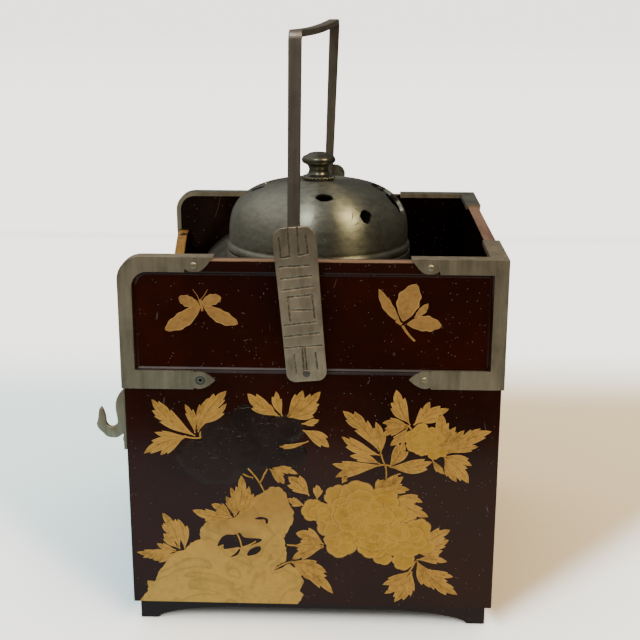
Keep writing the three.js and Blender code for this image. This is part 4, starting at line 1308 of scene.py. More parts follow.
def makeAshLid():
    look = potLook
    low, high = span("ash_pot_lid")
    radius = (high[0] - low[0]) / 2
    foot = potHigh[2] + 0.3
    springing = foot + look["lidEdge"]
    rise = high[2] - springing
    outer = [(radius, springing)]
    inner = []
    for k in range(1, 15):
        share = math.cos(math.pi / 2 * k / 14)
        outer.append((radius * share, springing + rise * (1 - share**2)))
    for k in range(0, 11):
        reach = look["spigotInner"] * math.sin(math.pi / 2 * k / 10)
        inner.append((reach, springing - look["lidWall"] + rise * (1 - (reach / radius) ** 2)))
    outer[-1] = (0, outer[-1][1])
    spigot = [(look["spigotInner"], low[2]), (look["spigot"], low[2]), (look["spigot"], foot)]
    profile = inner + spigot + [(radius - 0.3, foot), (radius, foot + 0.4)] + outer
    bm = bmesh.new()
    addTurned(bm, profile, 72, ashMiddle)
    finishPiece("pot_lid", bm, "dark_pewter", "ash_cover", "ash_pot_metal", ("ash_pot_lid",), 50)


def makeAshKnob():
    low, high = span("ash_pot_lid_knob")
    foot, t = low[2], high[2]
    b = t - potLook["knob"]
    corners = [
        (0, foot),
        (2.2, foot + 0.1),
        (2.4, foot + 0.8),
        (1.2, foot + 0.8),
        (1.2, b),
        (3.4, b, 0.4),
        (1.9, b + 1.6, 0.8),
        (2.1, b + 2.8, 0.8),
        (4.3, b + 4.6, 1.0),
        (3.2, t - 0.4, 1.0),
        (0, t),
    ]
    material, slot = "dark_pewter", "ash_pot_metal"
    turnedPiece("pot_knob", corners, 48, ashMiddle, material, "ash_cover", slot, "ash_pot_lid_knob")


makeAshPot()
makeAshLid()
makeAshKnob()
print("ash pot is on")

# Drawers

for level in ("lower", "upper"):
    drawer = level + "_drawer"
    softened(drawer + "_front", "plain_lacquer", drawer, "brown_lacquer", 0.6, 3)
    for board in ("side_near", "side_far", "back", "bottom"):
        softened(f"{drawer}_{board}", "drawer_wood", drawer, "drawer_wood", 0.25)
    softened(drawer + "_rosette", "pewter", drawer, "grey_metal", 0.25)


def makePull(drawer):
    node = drawer + "_pull"
    low, high = span(node)
    centre = (low[0], *middle(node)[1:])
    end = high[0] - low[0]
    corners = [
        (0, 0),
        (2.3, 0.2, 1.0),
        (4.15, 1.15, 1.0),
        (4.65, 2.8, 1.2),
        (2.2, 5.3, 1.4),
        (2.15, 7.2, 1.4),
        (3.7, 9.5, 0.4),
        (1.5, 9.5),
        (1.5, end - 0.9),
        (2.6, end - 0.9),
        (2.2, end - 0.2),
        (0, end),
    ]
    turnedPiece(drawer + "_knob", corners, 48, centre, "pewter", drawer, "grey_metal", node, "x")


for level in ("lower", "upper"):
    makePull(level + "_drawer")
print("drawers are on")

# Rivets and beads, grown by node trees

rivetLook = {"radius": 1.7, "height": 0.8, "sides": 9, "seed": 7}
rivetSpots = ("front_top", "front_low", "rear_top", "rear_low")
rivetNodes = [f"mount_rivet_{spot}_{side}" for side in sides for spot in rivetSpots]
rivetNodes = [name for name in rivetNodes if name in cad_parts]


def newTree(name, sockets):
    tree = bpy.data.node_groups.new(name, "GeometryNodeTree")
    tree.interface.new_socket("Geometry", in_out="INPUT", socket_type="NodeSocketGeometry")
    for label, kind, default in sockets:
        made = tree.interface.new_socket(label, in_out="INPUT", socket_type="NodeSocket" + kind)
        made.default_value = default
    tree.interface.new_socket("Geometry", in_out="OUTPUT", socket_type="NodeSocketGeometry")
    return tree, tree.nodes.new("NodeGroupInput").outputs


def grow(tree, kind, inputs, **settings):
    return addNode(tree, "GeometryNode" + kind, inputs, **settings).outputs[0]


def plant(tree, given, inputs):
    # a copy of the shape on every point, made real and given its finish
    put = grow(tree, "InstanceOnPoints", inputs)
    real = grow(tree, "RealizeInstances", {"Geometry": put})
    done = grow(tree, "SetMaterial", {"Geometry": real, "Material": given["Finish"]})
    tree.links.new(done, tree.nodes.new("NodeGroupOutput").inputs[0])
    return tree


def rivetTree():
    sockets = [
        ("Radius", "Float", 0.0017),
        ("Flatness", "Float", 0.45),
        ("Sides", "Int", 9),
        ("Seed", "Int", 0),
        ("Finish", "Material", None),
    ]
    tree, given = newTree("rivet heads", sockets)
    sphere = {"Segments": given["Sides"], "Rings": 8, "Radius": given["Radius"]}
    head = grow(tree, "MeshUVSphere", sphere)
    flat = add(tree, "CombineXYZ", {"X": 1.0, "Y": 1.0, "Z": given["Flatness"]}).outputs[0]
    pressed = grow(tree, "Transform", {"Geometry": head, "Scale": flat})
    aim = addNode(tree, "FunctionNodeAlignEulerToVector", {"Vector": (0.0, 1.0, 0.0)}, axis="Z").outputs[0]
    sizes = {2: 0.85, 3: 1.12, "Seed": given["Seed"]}
    size = addNode(tree, "FunctionNodeRandomValue", sizes, data_type="FLOAT").outputs[1]
    points = given["Geometry"]
    return plant(tree, given, {"Points": points, "Instance": pressed, "Rotation": aim, "Scale": size})


def beadTree():
    sockets = [
        ("Count", "Int", 26),
        ("Ring radius", "Float", 0.008),
        ("Bead radius", "Float", 0.001),
        ("Finish", "Material", None),
    ]
    tree, given = newTree("bead ring", sockets)
    ring = grow(tree, "MeshCircle", {"Vertices": given["Count"], "Radius": given["Ring radius"]})
    carried = grow(tree, "InstanceOnPoints", {"Points": given["Geometry"], "Instance": ring})
    spots = grow(tree, "RealizeInstances", {"Geometry": carried})
    bead = grow(tree, "MeshUVSphere", {"Segments": 10, "Rings": 7, "Radius": given["Bead radius"]})
    return plant(tree, given, {"Points": spots, "Instance": bead})


def growPiece(name, points, tree, values, body, slot, stands=()):
    data = bpy.data.meshes.new(name)
    data.from_pydata([Vector(p) * mm for p in points], [], [])
    piece = addObject(name, data)
    modifier = piece.modifiers.new("grow", "NODES")
    modifier.node_group = tree
    for item in tree.interface.items_tree:
        if item.item_type == "SOCKET" and item.in_out == "INPUT" and item.name in values:
            modifier[item.identifier] = values[item.name]
    plain = evaluated(piece)
    piece.modifiers.clear()
    piece.data = plain
    plain.name = name
    for polygon in plain.polygons:
        polygon.use_smooth = True
    seat(piece, body, slot, stands)


def rivetPoints():
    points = []
    for name in rivetNodes:
        low, high = span(name)
        sign = 1 if name.endswith("far") else -1
        outer = max(abs(low[1]), abs(high[1]))
        points.append(((low[0] + high[0]) / 2, sign * (outer - rivetLook["height"]), (low[2] + high[2]) / 2))
    return points


rivetValues = {
    "Radius": rivetLook["radius"] * mm,
    "Flatness": rivetLook["height"] / rivetLook["radius"],
    "Sides": rivetLook["sides"],
    "Seed": rivetLook["seed"],
    "Finish": finishes["pewter"],
}
growPiece("rivets", rivetPoints(), rivetTree(), rivetValues, "case", "grey_metal", rivetNodes)
beadValues = {
    "Count": knobLook["beads"],
    "Ring radius": (knobLook["ring"] + 0.05) * mm,
    "Bead radius": (knobLook["bead"] + 0.05) * mm,
    "Finish": finishes["knob_pewter"],
}
beadCentre = (brazierMiddle[0], brazierMiddle[1], knobBase + knobLook["bead"])
growPiece("knob_beads", [beadCentre], beadTree(), beadValues, "brazier_cover", "brazier_metal")
soften(["hook_nail_" + sideName for sideName in sides], "pewter", "grey_metal", 0.15)

lostNail = {"hole": 0.95, "stain": 2.5, "depth": 0.9}


def makeLostNail():  # the empty nail hole of the near front mount, in its ring of old polish
    place = middle("mount_rivet_front_low_far")
    centre = (place[0], span("corner_mount_front_near")[0][1], place[2])
    outer, inner, depth = lostNail["stain"], lostNail["hole"], lostNail["depth"]
    ring = [(inner, 0.3), (outer, 0.3), (outer, 0.0)]
    ring += [(outer - 0.4, -0.05), (inner + 0.5, -0.03), (inner, 0.02)]
    # a black disc sunk in the hole: painted shade inside it
    shadeDisc = [(0, depth + 0.4), (inner, depth + 0.4), (inner, depth), (0, depth)]
    for name, profile, count, finish in (
        ("nail_stain", ring, 28, "stain"),
        ("lost_nail_shade_disc", shadeDisc, 16, "hole_black"),
    ):
        bm = bmesh.new()
        addTurned(bm, profile, count, centre, "y")
        finishPiece(name, bm, finish, "case", "grey_metal", (), 60)


makeLostNail()
print("rivets and beads are on")

# Gold decoration: thin raised shapes laid on the boards

decoLook = {  # millimetres, mostly above the board
    "sunk": 0.05,
    "rim": 0.10,
    "crown": 0.22,
    "groove": 0.05,
    "petal": 0.16,
    "wornPetal": 0.06,
    "stalk": 0.85,
    "stalkTop": 0.16,
    "leafLayer": 0.012,
    "petalLayer": 0.022,
    "rock": 0.05,
    "wornSheet": 0.02,
    "scallop": 5.5,
    "scallopDepth": 1.0,
    "crinkleSeed": 5,
}


class Ground:  # a board's outer face: x to the right, z up, raised outwards; the far side is turned round
    def __init__(self, sign, face):
        self.sign = sign
        self.face = face

    def place(self, x, z, raised):
        return (caseX - self.sign * x, self.sign * (self.face + raised), z)


class FrontGround:  # a drawer front: x runs across it, towards the near side
    def __init__(self, node, size):
        self.face = span(node)[0][0]
        self.centre = middle(node)
        self.size = size

    def place(self, x, z, raised):
        return (self.face - raised, self.centre[1] - x * self.size, self.centre[2] + z * self.size)


def markFaces(bm, faces, marks, name):  # the place on a leaf or petal, for the vein and streak lines
    layer = bm.loops.layers.uv.get(name) or bm.loops.layers.uv.new(name)
    for face in faces:
        for loop in face.loops:
            loop[layer].uv = marks[loop.vert]


def addSkin(bm, rows, uvs):
    # rings of points joined into a closed skin, with a place on the leaf for each point
    marks = {}
    made = []
    for row, uvRow in zip(rows, uvs):
        ring = [bm.verts.new(point) for point in row]
        marks.update(zip(ring, uvRow))
        made.append(ring)
    faces = [bm.faces.new(reversed(made[0])), bm.faces.new(made[-1])]
    for low, high in zip(made, made[1:]):
        faces += bridge(bm, low, high)
    markFaces(bm, faces, marks, "leaf")
    orient(bm, faces)


def bladeHalf(t, teeth, seed, blunt):  # half width as a share, and how far the edge leans forward
    chance = random.Random(seed)
    body = math.sin(math.pi * t ** (1.3 if blunt == 1 else 1.12)) ** blunt if 0 < t < 1 else 0.0
    if not teeth:
        return body, 0.0
    cut, lean = 0.0, 0.0
    reach = 0.34 / teeth
    for k in range(teeth):
        at = 0.50 + 0.40 * (k + 0.5 + chance.uniform(-0.25, 0.25)) / teeth
        gap = t - at
        if -reach < gap <= 0:
            lean = max(lean, (1 + gap / reach) ** 2.2)
        if 0 < gap < reach * 0.9:
            cut = max(cut, (1 - gap / (reach * 0.9)) ** 1.2)
    return body * (1 - 0.40 * cut) + 0.16 * lean * (1 - t), lean * 0.09


def addBlade(bm, ground, base, tip, width, teeth, bend, layer, seed, blunt=1.0):
    # a leaf with a groove down its middle, or a wing when it has no teeth
    base, tip = Vector(base), Vector(tip)
    run = tip - base
    length = run.length
    along = run / length
    side = Vector((-along.y, along.x))
    chance = random.Random(seed * 31 + 7)
    bend *= chance.choice((-1, 1))
    if chance.random() < 0.2:
        teeth = max(teeth - 1, 1) if teeth else 0
    look = decoLook
    over = layer * look["leafLayer"]
    rim = look["rim"] + over
    low = -look["sunk"]
    rows, uvs = [], []
    count = 34
    for k in range(count + 1):
        t = 0.004 + 0.992 * k / count
        spine = base + run * t + side * (bend * length * math.sin(math.pi * t))
        edges = {}
        for hand in (-1, 1):
            half, lean = bladeHalf(t, teeth, seed * 2 + hand, blunt)
            wave = 0.11 * math.sin(t * 24 + seed + hand) * t if blunt < 1 else 0
            reach = max((half + wave * half) * width / 2, 0.32 - 0.26 * t)
            edges[hand] = spine + side * hand * reach + along * lean * length * 0.9
        lift = look["crown"] * math.sin(math.pi * min(max(t, 0.05), 0.95)) ** 0.5 + over
        slope = [(1, low), (1, rim * 0.7), (0.93, rim), (0.5, max(lift, rim))]
        section = [(-1, share, height) for share, height in slope]
        section.append((1, 0, max(lift - look["groove"], rim)))
        section += [(1, share, height) for share, height in reversed(slope)]
        ring, marks = [], []
        for hand, share, height in section:
            point = spine + (edges[hand] - spine) * share
            ring.append(ground.place(point.x, point.y, height))
            marks.append((t, hand * share))
        rows.append(ring)
        uvs.append(marks)
    addSkin(bm, rows, uvs)


def addStem(bm, ground, start, end, width, layer, bend, seed):
    start, end = Vector(start), Vector(end)
    run = end - start
    side = Vector((-run.y, run.x)).normalized()
    bend = run.length * bend * random.Random(seed).choice((-1, 1))
    low, top = -decoLook["sunk"], decoLook["stalkTop"]
    section = ((-1, low), (-1, top / 2), (-0.5, top), (0.5, top), (1, top / 2), (1, low))
    rows = []
    for k in range(11):
        t = k / 10
        spine = start + run * t + side * bend * math.sin(math.pi * t)
        half = width / 2 * (1 - 0.25 * t)
        ring = []
        for share, height in section:
            point = spine + side * half * share
            ring.append(ground.place(point.x, point.y, height + layer * decoLook["leafLayer"]))
        rows.append(ring)
    addSkin(bm, rows, [[(0.3, 0.5)] * len(section)] * len(rows))


def addPetal(bm, ground, centre, reachX, reachZ, layer, seed, lobes, height=decoLook["petal"]):
    # a scalloped petal, hollowed in the middle and raised at its rim
    chance = random.Random(seed * 17 + 3)
    start = chance.uniform(0, math.tau)
    tilt = chance.uniform(-0.25, 0.25)
    count = 44
    base = layer * decoLook["petalLayer"]
    marks = {}
    rings = []
    for share, lift in ((1.0, -1), (1.0, 0.6), (0.96, 0.95), (0.88, 1.0), (0.60, 0.80), (0.30, 0.72)):
        ring = []
        raised = -decoLook["sunk"] if lift < 0 else base + height * lift
        for i in range(count):
            angle = math.tau * i / count
            scallop = abs(math.sin(lobes * angle / 2 + start)) ** 0.55
            wobble = 0.03 * math.sin(3 * angle + start * 2)
            radius = share * (0.87 + 0.14 * scallop + wobble)
            x = centre[0] + reachX * radius * math.cos(angle + tilt * math.sin(angle))
            z = centre[1] + reachZ * radius * math.sin(angle)
            ring.append(bm.verts.new(ground.place(x, z, raised)))
            marks[ring[-1]] = (i / count, share)
        rings.append(ring)
    heart = bm.verts.new(ground.place(centre[0], centre[1], base + height * 0.66))
    marks[heart] = (0.5, 0)
    faces = []
    for outer, inner in zip(rings, rings[1:]):
        faces += bridge(bm, outer, inner)
    last = rings[-1]
    for i in range(count):
        faces.append(bm.faces.new((last[i], last[(i + 1) % count], heart)))
    markFaces(bm, faces, marks, "petal")
    faces.append(bm.faces.new(reversed(rings[0])))
    orient(bm, faces)


def addPetalRings(bm, ground, rings, layer, seed):
    # small ruffled petals set in uneven rings, each ring over the one before
    chance = random.Random(seed)
    for order, (centre, ringX, ringZ, count, across, tall) in enumerate(rings):
        turn = chance.uniform(0, math.tau)
        for k in range(count):
            angle = turn + math.tau * (k + chance.uniform(-0.2, 0.2)) / count
            reach = chance.uniform(0.88, 1.08)
            spot = (centre[0] + ringX * reach * math.cos(angle), centre[1] + ringZ * reach * math.sin(angle))
            size = chance.uniform(0.85, 1.15)
            over = layer + order + k * 0.05
            addPetal(bm, ground, spot, across * size, tall * size, over, seed + order * 20 + k, 6 + k % 4)


def addShape(bm, ground, outlines, thickness, edge=0.06):
    # a flat shape that may have holes, filled by a curve and laid on the ground
    curve = bpy.data.curves.new("shape", "CURVE")
    curve.dimensions = "2D"
    curve.fill_mode = "BOTH"
    curve.extrude = thickness
    curve.bevel_depth = edge
    curve.bevel_resolution = 1
    curve.offset = -edge
    for outline in outlines:
        spline = curve.splines.new("POLY")
        spline.points.add(len(outline) - 1)
        for point, place in zip(spline.points, outline):
            point.co = (place[0], place[1], 0, 1)
        spline.use_cyclic_u = True
    thing = addObject("shape", curve)
    part = bmesh.new()
    part.from_mesh(evaluated(thing))
    bpy.data.objects.remove(thing)
    bmesh.ops.remove_doubles(part, verts=part.verts, dist=0.001)
    copies = {vert: bm.verts.new(ground.place(*vert.co)) for vert in part.verts}
    faces = [bm.faces.new([copies[v] for v in face.verts]) for face in part.faces]
    part.free()
    orient(bm, faces)


def smoothPath(points, pieces=4):  # a closed curve through the points
    made = []
    count = len(points)
    for i in range(count):
        a, b, c, d = [Vector(points[(i + k) % count]) for k in (-1, 0, 1, 2)]
        for k in range(pieces):
            t = k / pieces
            bow = (a * 2 - b * 5 + c * 4 - d) * t * t + (b * 3 - a - c * 3 + d) * t**3
            made.append((b * 2 + (c - a) * t + bow) / 2)
    return made


def crinkled(points, seed):  # an uneven broken edge, straight along the foot
    chance = random.Random(seed)
    made = []
    for a, b in zip(points, points[1:] + points[:1]):
        a, b = Vector(a), Vector(b)
        run = b - a
        flat = abs(run.y) < 0.01
        out = Vector((-run.y, run.x)).normalized()
        pieces = 1 if flat else max(round(run.length / 1.3), 1)
        for k in range(pieces):
            move = chance.uniform(-0.32, 0.32) if k else 0
            made.append(a + run * k / pieces + out * move)
    return made


def scalloped(points, size, depth):  # small outward arcs along a closed path
    points = [Vector(p) for p in points]
    if area(points) > 0:
        points.reverse()
    made = []
    for a, b in zip(points, points[1:] + points[:1]):
        run = b - a
        pieces = max(round(run.length / size), 1)
        out = Vector((-run.y, run.x)).normalized()
        for k in range(pieces):
            for s in range(4):
                t = (k + s / 4) / pieces
                made.append(a + run * t + out * depth * math.sin(math.pi * s / 4))
    return made


# Peony leaves on the sides, each [base, tip, width] on the board in millimetres
leafGroups = [
    [((-57, 101.5), (-78, 120.3), 8.5), ((-60, 104), (-77, 111.5), 5), ((-57.2, 103), (-61.7, 118), 4.6)],
    [
        ((-55.8, 103.5), (-41.3, 125.2), 8), ((-54.5, 107.5), (-41.3, 118.8), 4.6),
        ((-56, 105), (-49.8, 121.5), 4.4),
    ],
    [
        ((-61.5, 101), (-82.8, 92), 6.5), ((-62.5, 100.5), (-74.6, 91.3), 5.5),
        ((-61.5, 101.5), (-77, 103.2), 4.6),
    ],
    [
        ((-15.5, 112.5), (-31.2, 124), 8), ((-14.3, 112.5), (-17.2, 125.3), 5),
        ((-17, 112.5), (-25.5, 118.3), 5),
    ],
    [((-12, 112.5), (-4.3, 126), 7), ((-11.5, 112), (4.2, 125.5), 7.5), ((-11, 112), (2.8, 117), 6)],
    [((-5, 108.8), (3.6, 111), 3.6), ((-4.6, 105.5), (8.5, 96.8), 7), ((-1.5, 99.8), (-17.5, 96.8), 2.6)],
    [((-21, 85), (-13.6, 77), 5.2), ((-21, 85.2), (-6.8, 82.4), 4), ((-1.2, 70.8), (-11.6, 80.8), 7.5)],
    [((-1.2, 71), (-12.2, 76.3), 4.6), ((-38, 59.5), (-34.8, 81.2), 6.8), ((-38, 59.5), (-40.2, 74.7), 4.4)],
    [((-38.5, 59), (-42.7, 69.8), 4.4), ((-37, 59), (-31, 75.5), 4.8), ((-36, 60), (-28.8, 71.6), 5)],
    [((-39.5, 58.5), (-59.6, 62), 6.4), ((-40, 58.5), (-50, 65.5), 5.4), ((-44, 59), (-53.5, 57), 4)],
    [((-66.5, 40.5), (-74.7, 60.3), 7), ((-64, 40.5), (-67, 57), 6), ((-67, 42.5), (-75.2, 53.6), 4.8)],
    [((-67, 41), (-74.6, 49), 4), ((-68.5, 39.5), (-88.4, 38.3), 5), ((-68.5, 40), (-78, 43.2), 4.2)],
    [((-70, 39), (-85.5, 35.2), 4.2), ((-68.5, 38.5), (-80.5, 34.2), 4), ((6, 43.5), (-8.5, 43.2), 5)],
    [((6, 44.5), (-8, 50.6), 8.5), ((6, 43), (-9.9, 36), 6.8)],
    [((-10.5, 34.5), (10.8, 17.3), 7.5), ((-10, 34.5), (-1.2, 24.8), 5.4), ((-10.5, 34.8), (7.5, 29), 6.2)],
    [((33, 95), (15, 115.8), 8.4), ((33.7, 93.5), (31, 110.4), 5.8), ((33.5, 93), (14.6, 102.4), 6.4)],
    [((34, 88), (10, 88), 6.4), ((33.5, 88.4), (18.6, 92.4), 5), ((34, 87.6), (11.6, 81), 6.4)],
    [((38, 87), (45, 100), 7.5), ((38, 87), (59, 89.9), 7.5), ((39, 86.7), (53.5, 84.7), 5)],
    [((47.8, 109), (40.6, 127), 7.5), ((47.2, 110), (38.6, 120.6), 4.4), ((49.3, 109), (57, 121.2), 5.6)],
    [((49.5, 109), (66.3, 117.6), 6), ((53, 109.5), (62.5, 113.4), 4.4), ((47, 108.6), (34.2, 109.8), 4.6)],
    [((47, 108), (34.2, 103.6), 5.4), ((46.5, 107.5), (38.4, 98.2), 5.2), ((45, 105), (44, 99), 4)],
    [((66, 94.5), (87.2, 106.4), 6.8), ((66.3, 95), (74, 106.7), 5), ((66.5, 94.5), (81, 98.2), 5)],
    [((71, 97.5), (81.8, 107.8), 4), ((64.5, 93), (78.2, 88.3), 5), ((64.5, 92.5), (77, 79), 7)],
    [((65, 91.8), (71.2, 79.6), 4.6), ((59, 91), (65.3, 83.6), 3.4), ((61, 99), (62.8, 115), 6.5)],
    [((64.5, 96), (69.8, 108.5), 5.4), ((60, 97), (68.5, 99), 5.5), ((-3.5, 65.6), (-11.8, 69.3), 4.6)],
    [((2.5, 69), (2.5, 76.8), 4.8), ((31.5, 74.5), (45, 81.9), 6.6), ((33, 73.5), (48.3, 75), 5.4)],
    [((31, 74.5), (36, 80), 4.4), ((41, 71), (57.9, 60.6), 7), ((43, 71.5), (54.8, 68.4), 4.4)],
    [((55, 43), (68.8, 53.8), 7), ((56.5, 43.5), (68.3, 48.3), 4.8), ((52.5, 41), (65.6, 42.3), 4.6)],
    [((52.5, 37), (67.9, 36.2), 5), ((52.5, 36.5), (73.7, 18), 8), ((53, 36.2), (59.8, 21.6), 5.6)],
    [((59, 32), (71.2, 28), 4.4), ((50, 31), (35.8, 22.8), 6), ((50, 30.5), (41.8, 13.1), 7)],
    [((50.5, 30.5), (50.1, 16.6), 5.4), ((47.5, 27), (36.8, 17.8), 4.2), ((15, 78), (17.3, 81.2), 3)],
]
stems = [  # [start, end]
    ((-31.5, 85), (-23.5, 72.5)), ((-34, 82), (-29, 80)), ((-26, 77), (-23.5, 82)),
    ((-23.5, 82), (-22, 85)), ((-62, 101.2), (-54.5, 100.6)), ((-38, 50.6), (-35.2, 42)),
    ((-35.2, 42), (-28, 45.6)), ((-54.5, 100.5), (-54.5, 104)), ((-12.5, 44), (-6, 44)),
    ((-18.5, 30.5), (-9.5, 35)), ((34, 93.5), (36, 88)), ((36, 88), (36.5, 80)),
    ((34, 88), (38.5, 87.5)), ((36, 79.5), (43.5, 83.5)), ((47, 109), (50, 105)),
    ((49, 30.5), (52, 36.5)),
]
rockLine = [  # round the pierced rock, from its lower left
    (-88, 10.9), (-83.5, 16.5), (-83.5, 22.5), (-80, 22), (-77.5, 28), (-73.5, 33.5), (-68.5, 39),
    (-63.5, 40.5), (-61, 44), (-56, 46), (-56, 51.5), (-53.5, 55), (-49, 57), (-44.5, 57),
    (-38.5, 58.5), (-32, 65.5), (-27.5, 70.5), (-23.5, 72.5), (-21, 75), (-16.5, 75.5), (-13, 72.5),
    (-11.5, 67.5), (-9, 62.5), (-9.5, 56.5), (-14, 47.5), (-12.5, 39.5), (-13, 35), (-17.5, 32.5),
    (-19, 29.5), (-11, 33.5), (-7, 30), (-4, 24), (-6, 18), (-4, 16), (-7, 10.9),
]
rockHoles = [
    [
        (-47.5, 42.5), (-45.5, 47), (-42.5, 49), (-39, 49), (-36, 50), (-33.5, 47.5), (-25.5, 47),
        (-26.5, 45), (-34.5, 42), (-37.5, 42), (-44, 41), (-44.5, 43.5),
    ],
    [(-32.5, 37.5), (-31, 41), (-26.5, 43), (-25.5, 41), (-28, 38.5)],
    [(-28.5, 58), (-25.5, 59), (-22, 58), (-22, 55.5), (-23, 55.5), (-23.5, 57.5), (-26.5, 57.5)],
    [(-41, 36.6), (-37.5, 37.8), (-36, 40.8), (-36.8, 41), (-38.2, 39)],
]
petals = [  # [centre, half width, half height], the broad ones at the back of the flower
    ((0.8, 63), 6.2, 6.2), ((13.5, 70.5), 7.4, 6.6), ((44, 64), 8.5, 7), ((33.5, 68.5), 9.9, 7.8),
    ((22.5, 72), 9.6, 7.4), ((52, 52), 8, 7.8), ((35.5, 38), 5.2, 4.2), ((46, 36.5), 5.8, 5.4),
    ((56, 44.5), 6.4, 4.2), ((15, 44.5), 8.3, 7), ((31, 44), 8.3, 7), ((42, 50), 11.3, 8.5),
    ((11.5, 55), 9.6, 7.5), ((20.5, 60), 12, 9.2), ((32, 56), 12.5, 11),
]
petalRings = [  # [centre, half width and half height of the ring, petals, petal half width, half height]
    ((26, 58), 15.5, 11.4, 9, 7.4, 5.6), ((45.5, 46.5), 7.5, 5.2, 6, 5.4, 4.2),
    ((15, 46.5), 4.2, 3.0, 3, 5.0, 4.2), ((26, 58.5), 9.5, 6.6, 7, 6.0, 4.6),
    ((27, 58), 4.6, 3.4, 5, 4.8, 3.8), ((27, 58), 1.4, 1.0, 2, 3.4, 2.8),
    ((3.5, 63), 2.6, 2.2, 3, 3.6, 3.4),
]
budRings = [  # the small flower at the right, as above
    ((54.5, 101.4), 5.2, 4.8, 7, 4.2, 3.6), ((60.5, 97.5), 3.4, 4.4, 4, 3.6, 3.0),
    ((54, 101.8), 2.6, 2.4, 4, 3.8, 3.2), ((54.2, 101.6), 0.7, 0.7, 2, 2.6, 2.2),
]
wornFlower = [  # round the flower that has rubbed away
    (-54, 108.5), (-50.5, 112.5), (-44, 115), (-38.5, 112.5), (-36, 116.5), (-31, 118), (-26, 118),
    (-21, 114.5), (-15, 113), (-9, 113), (-5.5, 110), (-3.5, 106.5), (-5, 102.5), (-9, 99.5),
    (-2.5, 94), (-3.5, 89), (-11.5, 84.5), (-22, 85.5), (-31, 84.5), (-38.5, 77), (-54.5, 77),
    (-63, 84.5), (-67, 90.5), (-63, 98), (-55, 100),
]
wornPetals = [  # as the petals
    ((-50, 106), 6, 6.5), ((-31, 110), 9, 7), ((-13, 107), 8, 6), ((-57, 91), 8, 8), ((-10, 92), 7, 7),
    ((-45, 98), 9, 8), ((-22, 101), 10, 8), ((-36, 93), 11, 9), ((-22, 91), 9, 6.5),
    ((-48, 84), 9, 6.5),
]
wings = [  # [[base, tip, width] of each wing, bluntness, seed], the low wings of the open butterfly first
    ([((-53, 167.4), (-70.4, 155), 7.6), ((-51.6, 167.2), (-35.4, 158.4), 6.6)], 0.62, 210),
    ([((-53.8, 167.8), (-63.4, 171.2), 5.4), ((-52.6, 168), (-43.2, 171.4), 5.4)], 0.55, 200),
    ([((42, 159.8), (31.4, 176.4), 4.8), ((48.6, 162.6), (55, 169.6), 3.4)], 0.8, 220),
    ([((43.2, 160.6), (49, 179), 10.8), ((45, 159.4), (61.6, 158.8), 7.6)], 0.7, 230),
]
bodies = [  # the butterflies' bodies and feelers, each [start, end, width]
    ((-53.4, 170.4), (-52.3, 164.6), 1.5), ((40, 161.2), (42.6, 159.2), 1.7),
    ((43, 158.6), (49, 151), 1.3), ((-53.8, 170.6), (-56.6, 175.2), 0.35),
    ((-52.6, 170.6), (-49.6, 175.2), 0.35), ((40.2, 161.4), (37, 165), 0.35),
]


def layLeaves(bm, ground, groups, seed):
    for group in groups:
        for order, (base, tip, width) in enumerate(group):
            seed += 1
            teeth = 2 if width > 7.6 else 1
            addBlade(bm, ground, base, tip, width * 0.96, teeth, 0.07, len(group) - order, seed)


def layPetals(bm, ground, rows, layer, seed, lobes=None, height=decoLook["petal"]):
    for order, (centre, across, tall) in enumerate(rows):
        count = lobes or 6 + order % 3
        addPetal(bm, ground, centre, across, tall, layer + order * 0.3, seed + order, count, height)


def gild(name, bm, finish, sharp, body="case", slot="gold_lacquer"):
    finishPiece(name, bm, finish, body, slot, (), sharp)


def laySide(side):
    look = decoLook
    outside = Ground(sides[side], halfWidth)
    sunken = Ground(sides[side], halfWidth - panelLook["depth"])
    leaves = bmesh.new()
    layLeaves(leaves, outside, leafGroups, 0)
    for order, (start, end) in enumerate(stems):
        addStem(leaves, outside, start, end, look["stalk"], 0, 0.05, order)
    gild(side + "_leaves", leaves, "leaf_gold", 60)
    rock = bmesh.new()
    outline = crinkled(rockLine, look["crinkleSeed"])
    addShape(rock, outside, [outline] + [smoothPath(hole) for hole in rockHoles], look["rock"])
    gild(side + "_rock", rock, "rock_gold", 50)
    flower = bmesh.new()
    layPetals(flower, outside, petals, 0, 0)
    addPetalRings(flower, outside, petalRings, 5, 100)
    addPetalRings(flower, outside, budRings, 1, 400)
    gild(side + "_peony", flower, "petal_gold", 50)
    worn = bmesh.new()
    outline = scalloped(wornFlower, look["scallop"], look["scallopDepth"])
    addShape(worn, outside, [outline], look["wornSheet"], look["wornSheet"])
    layPetals(worn, outside, wornPetals, 1.5, 80, 6, look["wornPetal"])
    gild(side + "_worn_peony", worn, "worn_lacquer", 50, slot="black_lacquer")
    butterflies = bmesh.new()
    for rows, blunt, seed in wings:
        for order, (base, tip, width) in enumerate(rows):
            addBlade(butterflies, sunken, base, tip, width, 0, 0.04, order, seed + order, blunt)
    for order, (start, end, width) in enumerate(bodies):
        addStem(butterflies, sunken, start, end, width, 4, 0.04, order)
    gild(side + "_butterflies", butterflies, "wing_gold", 60)


for sideName in sides:
    laySide(sideName)

drawerLeaves = {  # across the front towards the near side, and up, from the middle of the drawer front
    "upper": [
        [((38, -8), (62, 8), 8), ((38, -8), (50, 12), 6), ((38, -8), (66, -4), 6)],
        [((36, -8), (22, 10), 7), ((36, -8), (18, -4), 5)],
    ],
    "lower": [
        [((-40, -6), (-64, 10), 8), ((-40, -6), (-52, 13), 6), ((-40, -6), (-67, -3), 6)],
        [((-38, -6), (-24, 12), 7), ((-38, -6), (-19, -2), 5)],
    ],
}
for level, groups in drawerLeaves.items():
    leaves = bmesh.new()
    layLeaves(leaves, FrontGround(level + "_drawer_front", 0.9), groups, 300)
    gild(level + "_drawer_leaves", leaves, "leaf_gold", 60, level + "_drawer")
print("gold is on")

# Studio

